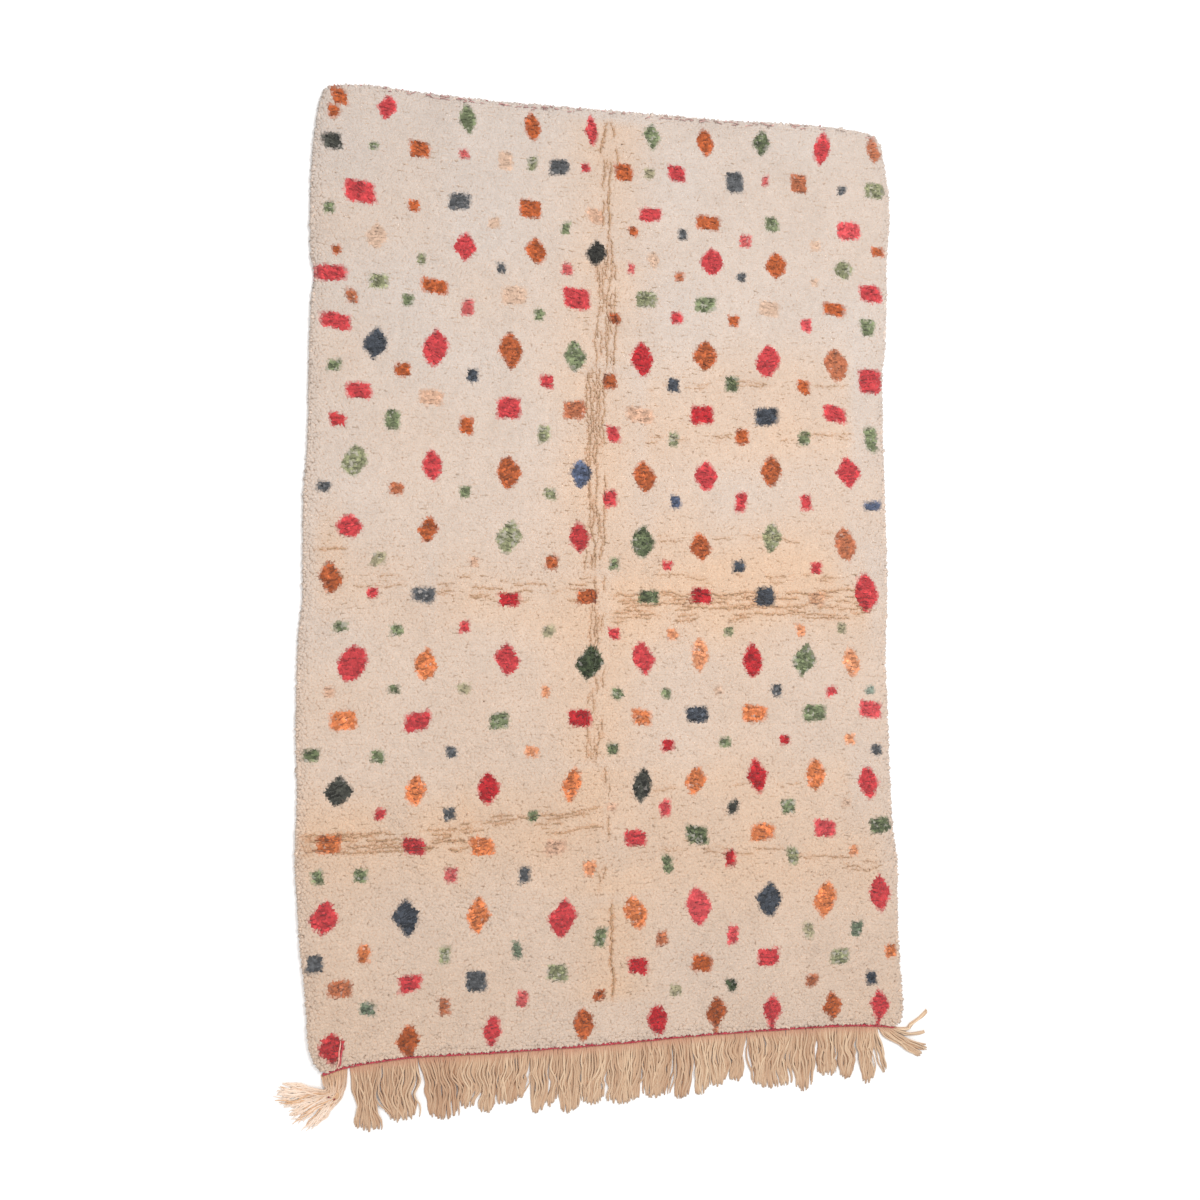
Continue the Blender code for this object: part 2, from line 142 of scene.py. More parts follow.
def smooth_noise(x, y, cell, seed):
    """Smooth random values from -1 to 1 over the plane, with features about one cell across."""
    table = np.random.default_rng(seed).uniform(-1, 1, (NOISE_TABLE, NOISE_TABLE))
    gx, gy = np.asarray(x) / cell, np.asarray(y) / cell
    i, j = np.floor(gx).astype(int), np.floor(gy).astype(int)
    fx, fy = gx - i, gy - j
    fx, fy = fx * fx * (3 - 2 * fx), fy * fy * (3 - 2 * fy)
    i0, i1 = i % NOISE_TABLE, (i + 1) % NOISE_TABLE
    j0, j1 = j % NOISE_TABLE, (j + 1) % NOISE_TABLE
    low = table[i0, j0] * (1 - fx) + table[i1, j0] * fx
    high = table[i0, j1] * (1 - fx) + table[i1, j1] * fx
    return low * (1 - fy) + high * fy


# ================================================================ dyes
def linear(red, green, blue):
    """Linear colour of an sRGB triple from 0 to 255."""
    srgb = np.array((red, green, blue), float) / 255
    return np.where(srgb <= 0.04045, srgb / 12.92, ((srgb + 0.055) / 1.055) ** 2.4)


def mix(first, second, share):
    """A blend of two colours, with a share from 0 to 1 of the second."""
    return first * (1 - share) + second * share


# Wool colours. Columns: name, red, green and blue from 0 to 255, the share of its knots that took
# little dye, and how unevenly the rest took it.
DYE_ROWS = (
    ("cream", 200, 190, 183, 0.0, 0.0),
    ("pink", 190, 64, 68, 0.0, 0.2),
    ("rose", 204, 80, 84, 0.0, 0.2),
    ("ltpink", 194, 92, 90, 0.1, 0.15),
    ("red", 180, 58, 60, 0.0, 0.2),
    ("crimson", 180, 42, 48, 0.0, 0.2),
    ("rust", 168, 88, 50, 0.0, 0.26),
    ("orange", 176, 90, 48, 0.0, 0.24),
    ("amber", 205, 122, 76, 0.1, 0.26),
    ("ltorange", 216, 148, 108, 0.16, 0.22),
    ("peach", 198, 156, 126, 0.1, 0.15),
    ("tan", 176, 106, 74, 0.1, 0.2),
    ("green", 114, 122, 90, 0.24, 0.32),
    ("ltgreen", 138, 139, 106, 0.34, 0.28),
    ("sage", 162, 153, 124, 0.2, 0.2),
    ("dkgreen", 92, 100, 72, 0.2, 0.36),
    ("forest", 56, 64, 44, 0.1, 0.5),
    ("teal", 106, 116, 96, 0.22, 0.25),
    ("mist", 146, 156, 142, 0.3, 0.15),
    ("slate", 86, 87, 89, 0.1, 0.3),
    ("navy", 59, 63, 70, 0.0, 0.4),
    ("blue", 83, 92, 114, 0.0, 0.3),
    ("charcoal", 60, 60, 54, 0.02, 0.45),
    ("black", 44, 43, 39, 0.0, 0.4),
    ("ghost", 205, 175, 153, 0.0, 0.1),
    ("faded", 205, 167, 142, 0.0, 0.14),
)
DYES = {name: (linear(*tone), pale, streaks) for name, *tone, pale, streaks in DYE_ROWS}
DYE_NAMES = list(DYES)
WARM_CREAM = linear(210, 182, 158)      # the same wool, warmer: yellowed towards the fringe end, and as painted warm shade around the creases
DEEP_CREAM = linear(212, 180, 152)      # its shaded lower parts
PAINTED_CREASE_SHADE = linear(232, 200, 164)     # painted shade: what the wool's colour is multiplied by in a crease
YELLOWED = 0.31                 # how yellowed the cream wool is half way along the rug
YELLOWED_BY_END = 0.32          # how much more so at the fringe end, and less at the plain end
YELLOWED_BY_AREA = 0.14         # how much that differs from one area to another
GREYED = 0.05                   # how much darker the cream wool is at the plain end
# How much its tone differs from one knot, hank and clump to another.
KNOT_TONE, HANK_TONE, CLUMP_TONE = 0.022, 0.03, 0.04
# How much of a dye's unevenness is in single knots, and how much in streaks.
DYE_BY_KNOT, DYE_BY_STREAK = 0.6, 1.7

# The knotted pattern as a chart. Each line: shape, and motifs from left to right as the dye,
# the place across and along from the field's middle, and the width and height, all in cm.
PATTERN = """
lozenge: pink -57.6 114 5 6.5, green -37.5 113 4.5 8, orange -21 112.5 4.5 7, pink -5.5 113 4 8
lozenge: green 10.7 113 4.6 7, orange 25.3 112.6 5 7.5, dkgreen 41 114 5 7.5, pink 58.3 114 5 9
lozenge: tan 73 115 3.8 7.5
block: orange -69.1 115.8 3.6 3.9, orange -70.5 112.1 2.8 3.5, charcoal -70.8 104.2 4.6 4.3
block: orange -49.6 104 5 4.5, ghost -28 103 4 5, slate -14 102.5 5 4.3, orange 3 102.8 4.8 5
block: pink 17.4 103.6 5 4.5, slate 33.3 102.7 4.8 5.6, tan 51.5 103.7 4.8 5.2, ltgreen 73.3 103.7 5.5 4.4
spot: green -61 104 2.3 2.2, ltpink -38.3 103.5 2.6 2.4, ltgreen -21 103 2.8 3.6, pink -7 103 2.3 2.4
spot: sage 10 102.8 2.7 2.6, ltpink 42 103.6 2 2.8, slate 64 103 2.7 2.5
block: pink -64 92 7.5 5.6, slate -39.4 91.6 5.6 4.6, orange -21.6 91 5.6 4.8, faded -4.5 90.5 4 4
block: pink 10 92 6 4, orange 26 91 6.5 4, green 43.7 92 4 4.2, rose 65.5 92 6.8 4.9
spot: green -71.4 87.4 2.6 3, orange -51 89.4 3 3, ghost -30.7 86.4 3 3, green -12.2 86.7 2.3 3.3
spot: orange 5.4 87 2.6 2.8, slate 18.8 87.4 2.9 3, ltpink 36 86.8 3.3 3.4, ghost 56 87 3 3
spot: orange 73.8 86.6 3.4 3
lozenge: ghost -60 81 5.5 7, pink -38 80 5.8 7.4, orange -20 80 5.5 7, black -4.4 80.7 6 7, ghost 11 80 4 5
lozenge: pink 26.8 80.4 6.6 7.4, orange 44.6 80.6 6.2 7.4, ltgreen 64 81 6 5.5
spot: orange -69.7 77 2.3 2.4, ltgreen -49 76 2.3 3, slate -29 75 2.4 3, ltpink -12 76 2.9 3.6
spot: ltpink 4.8 77 2 2.7, tan 18 76 2.4 2.6, slate 35 77 2.2 2.6, ghost 55.5 77 2.4 2.4
block: pink -70.6 71 7 4, ltgreen -59.3 69.5 4.6 3.8, orange -45.6 69.2 6.5 4, ghost -25.8 68.2 6.4 4.8
block: pink -9.5 68.5 7 5.7, ltgreen 9 69.4 5.5 4.2, green 25 69 6 4.2, ghost 42.5 69 5.8 4.4
block: orange 61 70 6.3 4, pink 71.6 75 6.4 4.6
spot: tan -65.6 65.5 3 3.6, green -52.3 65.4 3.1 3.2, ltpink -37.4 64.4 3 4, green -19.2 63.6 2.8 3.2
spot: rust 0.5 63.8 3 2.9, pink 17 65 3.4 3.3, orange 32.6 65 3.2 3.3, rose 53 65.2 3.2 3.7
spot: green 70.6 65.7 4.3 4.7
block: pink -69.7 59 7.2 4.3, pink 70.7 50.8 6 7
lozenge: navy -60 54 6 8.3, pink -45.4 53.5 6.3 9.8, rust -26.5 54 6.2 9.3, green -10 53.2 6 8.4
lozenge: crimson 7.7 53.4 6.2 9.3, rust 24.7 55.2 7 8.6, pink 42 54.7 7 9, tan 61.4 54.8 7 9
spot: green -69.8 48 3.4 3.2, orange -53.3 47.8 3.7 3.3, navy -36 47 3 3.4, pink -17.3 46.4 3.4 3.6
spot: rust -1 47.2 3.4 4.2, navy 16 47 3.4 4.2, dkgreen 32 48 3.7 4.5, orange 52 48.5 3.5 3.9
block: pink -64 42 6 4, faded -46.3 41 6 4, pink -27 39.3 6 5.7, tan -10.2 39.4 5.8 4.8, faded 7 39 7.4 4.3
block: crimson 23.7 39.5 6.3 5, navy 41.5 40 6.6 4.6, pink 60.8 41.5 6.3 4.7
spot: red -69 34.6 3.8 3.8, green -55.8 35.2 3.4 5, orange -37.6 34.3 3.6 4.5, ltgreen -18 33 3.2 4.4
spot: pink 0 33.7 3.4 4, ltgreen 16 32.8 3 3.8, orange 34.4 34.3 3.5 4.4, green 52 34.6 3.6 4
spot: green 70.8 35 3.6 6.6
lozenge: ltgreen -64.8 24.5 6.4 8, pink -46 24 5.5 7.8, rust -27 23 6.6 8.5, blue -8.5 23.2 5.8 7.2
lozenge: rust 8 23 6.4 8.4, pink 24.5 23.5 6.3 8, rust 42.6 25.3 6.4 8.6, pink 64.3 25.8 7.6 8.4
spot: slate -72 18 3.4 2.6, tan -55 18 3.3 2.9, green -38 17.6 2.8 2.9, ltgreen -16.5 17.6 3 3
spot: pink -1 17 4 4.3, blue 16.3 16.6 3.2 3.3, pink 34 17 3.2 5, pink 52.3 17.4 3.3 4.5
spot: blue 71 17 4.4 2.9
lozenge: pink -66 8.5 6.7 5.8, rust -47 8 5.3 6.8, ltgreen -26.9 6.6 7 8.6, red -9 7 5.4 8.4
lozenge: dkgreen 7.6 6 6.3 9, rust 23 5 6 8, ltgreen 42.4 8 6 8, tan 63 6.4 6.4 9.4
spot: sage -59 0.6 3.3 3.3, faded -35.5 0.2 2.4 2.4, rust -16 0.5 3.2 3.6, green 0 0.4 2.7 3.1
spot: pink 14.2 0.3 2.9 2.6, navy 33 0 3.4 3.3, pink 55 0 3.5 3.3
lozenge: rust -70.3 -4.1 5.8 8, pink 68.8 -6.4 7 10.6
block: slate -48 -8 6 3.8, crimson -27 -9 5.2 3.6, rust -7 -8 5.4 3.8, dkgreen 9 -8 5.4 3.6
block: crimson 23 -7.7 5.6 4.1, navy 40.5 -7.6 5.3 5.2, peach 55 -8 4.6 3.6
spot: pink -60.4 -7.5 2.6 2.6, green -68 -16 3.4 2.6, green -54.5 -16.7 3 2.7, pink -38 -16 2.6 2.8
spot: sage -17 -17 3.2 3.2, pink 0 -17.3 3.1 3.1, ltorange 15.4 -17.7 2.8 2.8, ltgreen 30.4 -16.7 2.5 2.4
spot: ltorange 50 -16.6 2.6 3.3, sage 61.5 -16 2.5 2.8
lozenge: pink -65 -24.7 7.5 8.8, amber -47.5 -25.3 6 8.4, pink -27.4 -24 6.7 8.2, forest -6.5 -24.8 7.5 8.8
lozenge: pink 7.4 -23.7 5.9 8.4, ltorange 22.4 -22.8 5 9, crimson 36.7 -24.3 5.8 8.7, green 51 -24.2 7 8.4
lozenge: ltorange 64.2 -25 5 8
spot: faded -70.4 -31.8 3 2.6, dkgreen -55 -31 2.8 2.2, sage -38 -31 3.5 2.4, ltorange -17.6 -32 2.1 2.6
spot: green 0.5 -32.7 3 2.9, green 13.4 -32.7 2.5 2.5, ghost 27.5 -32 2.5 2.5, slate 43.4 -32 3.1 3.3
spot: pink 58.5 -32.5 3.4 2.6, mist 69.3 -32.3 2.4 2.3
block: amber -67 -38.6 6.6 4.8, pink -49.4 -39 6.2 4.6, green -29.3 -39 5 4.1, crimson -9 -38.7 5.8 4.3
block: amber 7 -38.6 5 4, navy 21.6 -38.2 6 4.3, amber 37 -38 6.7 4.6, green 53.7 -38 6.5 4.3
block: rose 69.3 -37.3 6 4.6
spot: dkgreen -74.2 -46.7 3.7 3.2, green -58.8 -47.4 3.3 3, slate -41 -46.6 2.9 3, ltorange -21 -47 3.6 2.8
spot: dkgreen -0.5 -46.4 3 2.9, crimson 13.7 -45.9 3.4 2.9, green 29 -45.4 2.9 3, crimson 45.3 -45 3 2.8
spot: ltorange 63.4 -45 3.4 3, slate 71 -48 3 2.9
lozenge: charcoal -68 -55.4 7.2 7.4, amber -49.7 -55.8 5 7.8, crimson -32 -55.5 5.6 8
lozenge: amber -11 -55 5.2 8.6, charcoal 7 -55.7 5.5 9, amber 21 -55 5.8 7.4, crimson 37.7 -54 6 9.2
lozenge: amber 53.7 -54 5.7 8.8, pink 68.5 -56.6 6 9.2
spot: pink -58 -61 2.8 2.7, slate -41.6 -61.3 3 3.2, green -21 -62.7 2.8 2.8, faded -1 -61 2.6 2.4
spot: rose 13 -61.8 3.2 4, charcoal 31 -62 3 3.5, green 46 -62 3.9 4, ghost 62 -61.8 2.8 2.8
block: amber -70 -67.8 5.8 4.6, pink -50 -69 5.4 4.4, amber -33.5 -69.6 5.6 4.6, faded -15.5 -70.5 5.6 4
block: pink 5 -69 5.9 4, dkgreen 21.3 -68.7 5.7 4.8, amber 39 -68.5 6.1 4.5, rose 56 -68 6.1 4.5
block: dkgreen 71.2 -67.8 5.4 4.2
spot: green -72.7 -75.5 3.2 3.8, green -62.7 -75.4 3.3 3.6, ltpink -41 -76 3 3.7, slate -23 -77 2.8 4.4
spot: ltorange -6.5 -76 3.3 3.9, green 13.4 -75.6 2.7 4.4, crimson 30 -75 2.8 4.4, ltgreen 47 -75 3.5 4.3
spot: ltorange 64 -74 2.5 2.8
lozenge: pink -71 -85.3 6.8 8.3, navy -51.7 -86 6.6 9.1, amber -34.4 -86.0 6.2 9.4
lozenge: pink -13.4 -87.9 7.2 9.6, amber 5 -87.2 6.4 9, rose 21.4 -86.5 7 9.4, navy 40.4 -85.8 7.4 9.2
lozenge: amber 55.7 -86.3 6.2 9.6, pink 71 -85.3 6.4 10.3
spot: amber -61.6 -94 2.9 4.4, ltgreen -42.5 -95.3 2.8 4.2, teal -24.8 -95 2.4 4.2, green -4 -93 3.2 4.3
spot: tan 12 -94.3 3.1 3.8, rose 30.6 -94 3.2 4.8, sage 51 -94 2.8 4.1, teal 64.4 -94.2 3.3 4
spot: slate -72.7 -95.9 3.4 3.9, amber 73.6 -100.4 3 3.4
block: tan -67 -102 6 4, pink -50.7 -101.5 5.4 4.4, slate -34.8 -101.9 5.3 5.2, ltgreen -15 -101 5.3 4.4
block: crimson 5.6 -100.6 5.1 4.2, orange 22.3 -100.8 5.6 4.3, pink 40 -100.2 5.7 4.4
block: ltgreen 59.6 -101.1 5.2 4.1
spot: teal -60.6 -107 3.8 3.2, tan -42.6 -107.4 2.9 3.9, ltpink -23.5 -107 3 3.8, rust -4.4 -107.1 3 3
spot: sage 15.3 -107.1 3.1 3.2, forest 30 -106.6 3.2 3.2, tan 51.7 -106.7 3.2 3, navy 68.5 -107.2 2.9 3.4
lozenge: red -68.8 -115.4 6 7.4, rust -51 -115 6 7.8, pink -31 -113.9 5 7.4, rust -8.4 -113.9 5.6 8
lozenge: crimson 10.6 -114 5.2 7.2, rust 26 -113 5.9 7.8, pink 40.8 -113.5 5.2 7.5
lozenge: rust 57.3 -113.7 5.4 7.5, pink 70.3 -114 5.8 8
block: rust 26 -117.5 1.4 3, pink 41 -117.5 1.8 3, pink 70 -117.5 2 3
"""


def read_pattern():
    """The motifs of the chart: shape, dye, place across and along, width and height in metres."""
    motifs = []
    for line in PATTERN.strip().splitlines():
        shape, _, row = line.partition(":")
        for entry in row.split(","):
            name, *numbers = entry.split()
            motifs.append((shape, name, *(float(n) * CM for n in numbers)))
    return motifs


MOTIFS = read_pattern()

TIP_SPREAD = 1.2 * MM           # how far the tips of dyed knots spread past their roots
SOFT_EDGE = 6 * MM              # width in which a motif's edge mingles with the wool around it
EDGE_FRAY = 1.5 * MM            # how far single knots stray over that edge
EDGE_WARP = 2.4 * MM            # how far the rows of knots wander
WARP_CELL = 18 * MM             # size of the areas in which they wander one way
MOTIF_SKEW = 0.15               # how far out of true the motifs are drawn
LOZENGE_POWER = 1.35            # 1 is a sharp lozenge and 2 an oval
BULGE = 0.18                    # how much that differs from one lozenge to another
BLOCK_POWER = 5                 # a block or a spot with rounded corners


def dye_at(x, y, rng):
    """The dye of knots at x, y in metres, as an index into DYE_NAMES, and how full it is."""
    dye = np.zeros(len(x), int)
    full = np.zeros(len(x))
    fray = rng.uniform(-1, 1, len(x)) * EDGE_FRAY
    warped_x = x + EDGE_WARP * smooth_noise(x, y, WARP_CELL, 51)
    warped_y = y + EDGE_WARP * smooth_noise(x, y, WARP_CELL, 52)
    skews = np.random.default_rng(53)
    for shape, name, cx, cy, width, height in MOTIFS:
        lean, slope, bulge = skews.uniform(-1, 1, 3) * (MOTIF_SKEW, MOTIF_SKEW, BULGE)
        near = np.flatnonzero((np.abs(x - cx) < width) & (np.abs(y - cy) < height))
        off_x, off_y = warped_x[near] - cx, warped_y[near] - cy
        half = np.array((width, height)) / 2 - TIP_SPREAD
        across = np.abs(off_x + lean * off_y) / half[0]
        along = np.abs(off_y + slope * off_x) / half[1]
        power = LOZENGE_POWER + bulge if shape == "lozenge" else BLOCK_POWER
        reach = (across**power + along**power) ** (1 / power)
        past = (reach - 1) * half.min() + fray[near]
        strength = np.clip(0.5 - past / SOFT_EDGE, 0, 1)
        stronger = strength > full[near]
        dye[near[stronger]] = DYE_NAMES.index(name)
        full[near[stronger]] = strength[stronger]
    return dye, full


# ================================================================ creases where the pile parts
# Bands of short parted lines left by folding, in cm. Columns: the way the lines run, both ends
# along that way, the first line's place across at each end, how many lines there are, their depth
# in mm, and the share of their length that is open.
CREASE_BANDS = (
    ("y", 104, 116, -3.4, -1.4, 1, 8.0, 0.92),
    ("y", 104, 116, 1.6, -0.2, 1, 7.5, 0.88),
    ("y", 76, 106, -2.0, -2.2, 3, 7.5, 0.72),
    ("y", 50, 79, -4.8, -4.2, 7, 6.0, 0.80),
    ("y", -2, 51, -7.0, -6.8, 6, 6.5, 0.86),
    ("y", -50, -2, -7.2, -5.8, 5, 5.5, 0.56),
    ("y", -84, -50, -4.2, -3.0, 3, 5.5, 0.52),
    ("y", -109, -84, -1.2, -0.8, 1, 10.0, 1.00),
    ("x", -1, 70, -14.2, -12.6, 9, 6.5, 0.64),
    ("x", 2, 62, -4.4, -3.4, 3, 4.0, 0.42),
    ("x", -74, -66, 3.2, 3.0, 1, 7.0, 0.95),
    ("x", -46, -4, -8.8, -8.8, 7, 5.0, 0.46),
    ("x", -74, -46, -5.7, -6.3, 4, 3.5, 0.32),
    ("x", -77, -36, -69.8, -69.9, 6, 7.0, 0.76),
    ("x", -40, -3, -68.4, -66.0, 7, 6.0, 0.60),
    ("x", 2, 72, -71.6, -79.6, 5, 4.0, 0.36),
    ("x", 8, 66, 46.0, 49.6, 2, 4.0, 0.48),
    ("x", 8, 66, 32.0, 34.6, 3, 4.5, 0.45),
    ("x", 10, 64, 6.0, 7.6, 3, 3.5, 0.36),
    ("x", 8, 64, -58.4, -57.4, 3, 3.5, 0.36),
)
LINE_SPACING = 8.5 * MM         # between the parted lines of a band
LINE_WOBBLE = 4.5 * MM          # how far a parted line wanders, slowly and quickly
LINE_WIGGLE = 3.0 * MM
BAND_FADE = 3                   # cm in which a band's lines open up from its ends
LINE_WIDTH = 4 * MM             # how far from a parted line the painted crease shade reaches
DEEPEST_CREASE_SHADE = 8                # depth in mm of a crease at which its painted shade is full
LEAN_REACH = 7 * MM             # how far from a parted line the tufts lean away
LEAN_SHARE = 0.32               # how far their tips lean and sink, as shares of its depth
SINK_SHARE = 0.15
WARM_REACH = 90 * MM            # how far the painted warm shade spreads around the creases
WARM_PER_MM = 0.09              # how strong it is for each mm of their depth, and at most
WARMEST = 0.52
RIPPLE_PITCH = 11 * MM          # spacing of the faint ripples all over the pile
RIPPLE_PUSH = 2.6 * MM


def along_band(along, first, last):
    """Where places lie between a band's two ends, from 0 to 1, and how far they are within it."""
    t = (along / CM - first) / (last - first)
    return t, np.clip(np.minimum(t, 1 - t) * abs(last - first) / BAND_FADE + 0.25, 0, 1)


def parted_line(band, k, along):
    """Where a band's k-th line lies at places along it, and how far it is open from 0 to 1."""
    _, first, last, across_first, across_last, _, _, share = CREASE_BANDS[band]
    seed = 100 + 200 * band + k
    t, inside = along_band(along, first, last)
    line = (across_first + t * (across_last - across_first)) * CM + k * LINE_SPACING
    line = line + LINE_WOBBLE * smooth_noise(along, 0 * along, 45 * MM, seed)
    line = line + LINE_WIGGLE * smooth_noise(along, 0 * along, 9 * MM, seed + 50)
    level = smooth_noise(along, 0 * along, 48 * MM, seed + 100)
    level = level + 0.3 * smooth_noise(along, 0 * along, 20 * MM, seed + 150)
    return line, np.clip((level + 2 * share - 1) * 2, 0, 1) * inside


def parted_by(off, push):
    """How far tips at a distance from a parted line are pushed away from it."""
    return np.sign(off) * (np.sqrt(off**2 + push**2) - np.abs(off))


def crease_relief(x, y):
    """How the pile lies around the parted lines.

    Returns how far the tips lean in x and y, how deep they sink, and how far the tufts are parted
    from 0 to 1, which also sets how strong the painted crease shade is.
    """
    lean_x, lean_y = np.zeros_like(x), np.zeros_like(x)
    depth, parted = np.zeros_like(x), np.zeros_like(x)
    for band, (way, _, _, _, _, count, deep, _) in enumerate(CREASE_BANDS):
        along, across = (y, x) if way == "y" else (x, y)
        for k in range(count):
            line, open_here = parted_line(band, k, along)
            off = across - line
            near = np.exp(-((off / LEAN_REACH) ** 2)) * open_here
            push = parted_by(off, LEAN_SHARE * deep * MM * near)
            depth = np.maximum(depth, SINK_SHARE * deep * MM * near)
            parting = np.exp(-((off / LINE_WIDTH) ** 2)) * open_here * deep / DEEPEST_CREASE_SHADE
            parted = np.maximum(parted, parting)
            if way == "y":
                lean_x += push
            else:
                lean_y += push
    return lean_x, lean_y, depth, np.minimum(parted, 1)


def crease_warm_shade(x, y):
    """How strong the painted warm shade is around the creases, from 0 to 1."""
    warmth = np.zeros_like(x)
    for way, first, last, across_first, across_last, count, deep, _ in CREASE_BANDS:
        along, across = (y, x) if way == "y" else (x, y)
        t, inside = along_band(along, first, last)
        half = 0.5 * (count - 1) * LINE_SPACING
        middle = (across_first + t * (across_last - across_first)) * CM + half
        far = np.maximum(np.abs(across - middle) - half, 0)
        near = np.exp(-((far / WARM_REACH) ** 2)) * inside * min(WARMEST, WARM_PER_MM * deep)
        warmth = warmth + near * (1 - warmth)
    return warmth


def ripple_bend(x, y):
    """How far the rows of ripples have wandered along y at a point."""
    return 13 * MM * smooth_noise(x, y, 60 * MM, 61) + 3 * MM * smooth_noise(x, y, 17 * MM, 62)


def ripple_open(x, row):
    """How far a row of ripples is open at a point, from 0 to 1."""
    return np.clip(2 * smooth_noise(x, row * 37 * MM, 24 * MM, 63) + 0.3, 0, 1)


def ripple_push(x, y):
    """How far the tips lean along y in the faint short ripples that cross the whole pile."""
    bent = y + ripple_bend(x, y)
    row = np.floor(bent / RIPPLE_PITCH)
    off = bent - (row + 0.5) * RIPPLE_PITCH
    return parted_by(off, RIPPLE_PUSH * ripple_open(x, row))


# ================================================================ materials
def new_material(name, values):
    """A material with values on its shader's own sockets, its node tree and its shader."""
    material = bpy.data.materials.new(name)
    material.use_nodes = True
    shader = material.node_tree.nodes["Principled BSDF"]
    for socket, value in values.items():
        shader.inputs[socket].default_value = value
    return material, material.node_tree, shader


def add_node(tree, kind, values=None, **settings):
    """A node with values on its sockets and with its settings."""
    node = tree.nodes.new("ShaderNode" + kind)
    for name, value in settings.items():
        setattr(node, name, value)
    for socket, value in (values or {}).items():
        node.inputs[socket].default_value = value
    return node


def colour_and_raise(tree, shader, pattern, span, shades, bump_depth, bump_strength):
    """Dyed colour from the mesh, shaded and raised by a pattern whose values lie in a span."""
    dyed = add_node(tree, "Attribute", attribute_name="Wool")
    shade = add_node(tree, "MapRange", {"From Min": span[0], "From Max": span[1],
                                        "To Min": shades[0], "To Max": shades[1]})
    scaled = add_node(tree, "VectorMath", operation="SCALE")
    bump = add_node(tree, "Bump", {"Distance": bump_depth, "Strength": bump_strength})
    for output, target in (
        (pattern, shade.inputs["Value"]),
        (dyed.outputs["Color"], scaled.inputs[0]),
        (shade.outputs["Result"], scaled.inputs["Scale"]),
        (scaled.outputs["Vector"], shader.inputs["Base Color"]),
        (pattern, bump.inputs["Height"]),
        (bump.outputs["Normal"], shader.inputs["Normal"]),
    ):
        tree.links.new(output, target)


def wool_material(name, roughness, sheen, fibre_size, bump_depth, mottle):
    """Matte wool: dyed colour from the mesh, mottled along fine fibres that also roughen it."""
    material, tree, shader = new_material(name, {
        "Roughness": roughness, "Sheen Weight": sheen, "Sheen Roughness": 0.6,
        "Specular IOR Level": 0.12,
    })
    place = add_node(tree, "TexCoord")
    fibres = add_node(tree, "TexNoise", {"Scale": 1 / fibre_size, "Detail": 4, "Roughness": 0.65})
    tree.links.new(place.outputs["Object"], fibres.inputs["Vector"])
    colour_and_raise(tree, shader, fibres.outputs["Fac"], (0.3, 0.7), (1 - mottle, 1 + mottle),
                     bump_depth, 0.6)
    return material


# In order: name, roughness, sheen, size of the fibres, depth of their relief and mottling.
PILE_WOOL = wool_material("pile_wool", 0.95, 0.25, 1.6 * MM, 0.8 * MM, 0.10)
YARN_WOOL = wool_material("yarn_wool", 0.92, 0.2, 1.2 * MM, 0.5 * MM, 0.12)
RED_WOOL = wool_material("red_wool", 0.9, 0.2, 7 * MM, 0.5 * MM, 0.35)


def foundation_material():
    """The woven back: rows of knots between weft threads, in the colours of the knots."""
    material, tree, shader = new_material("foundation_wool", {
        "Roughness": 0.95, "Specular IOR Level": 0.1,
    })
    place = add_node(tree, "TexCoord")
    split = add_node(tree, "SeparateXYZ")
    tree.links.new(place.outputs["Object"], split.inputs["Vector"])
    ribs = add_node(tree, "Math", operation="ADD")
    for k, (axis, pitch) in enumerate((("X", KNOT_PITCH), ("Y", ROW_PITCH))):
        turn = add_node(tree, "Math", {1: TAU / pitch}, operation="MULTIPLY")
        wave = add_node(tree, "Math", operation="COSINE")
        tree.links.new(split.outputs[axis], turn.inputs[0])
        tree.links.new(turn.outputs[0], wave.inputs[0])
        tree.links.new(wave.outputs[0], ribs.inputs[k])
    colour_and_raise(tree, shader, ribs.outputs[0], (-2, 2), (0.62, 1.05), 0.6 * MM, 1)
    return material


# ================================================================ mesh from arrays
def mesh_piece(name, points, faces, material, colours, cells=None):
    """An object from arrays: points, faces that all have as many corners, colour at each point.

    cells gives each face corner its place on a flat chart of the piece, so that no two tufts
    share a spot when its colours are written to an image.
    """
    mesh = bpy.data.meshes.new(name)
    size = faces.shape[1]
    mesh.vertices.add(len(points))
    mesh.vertices.foreach_set("co", np.asarray(points, np.float32).ravel())
    mesh.loops.add(faces.size)
    mesh.loops.foreach_set("vertex_index", faces.astype(np.int32).ravel())
    mesh.polygons.add(len(faces))
    mesh.polygons.foreach_set("loop_start", np.arange(len(faces), dtype=np.int32) * size)
    mesh.polygons.foreach_set("use_smooth", np.ones(len(faces), bool))
    mesh.update(calc_edges=True)
    layer = mesh.color_attributes.new("Wool", "FLOAT_COLOR", "POINT")
    rgba = np.ones((len(points), 4), np.float32)
    rgba[:, :3] = colours
    layer.data.foreach_set("color", rgba.ravel())
    if cells is not None:
        chart = mesh.uv_layers.new(name="OFBake")
        chart.data.foreach_set("uv", np.asarray(cells, np.float32).ravel())
    mesh.materials.append(material)
    piece = bpy.data.objects.new(name, mesh)
    bpy.context.scene.collection.objects.link(piece)
    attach(piece, "root")
    return piece


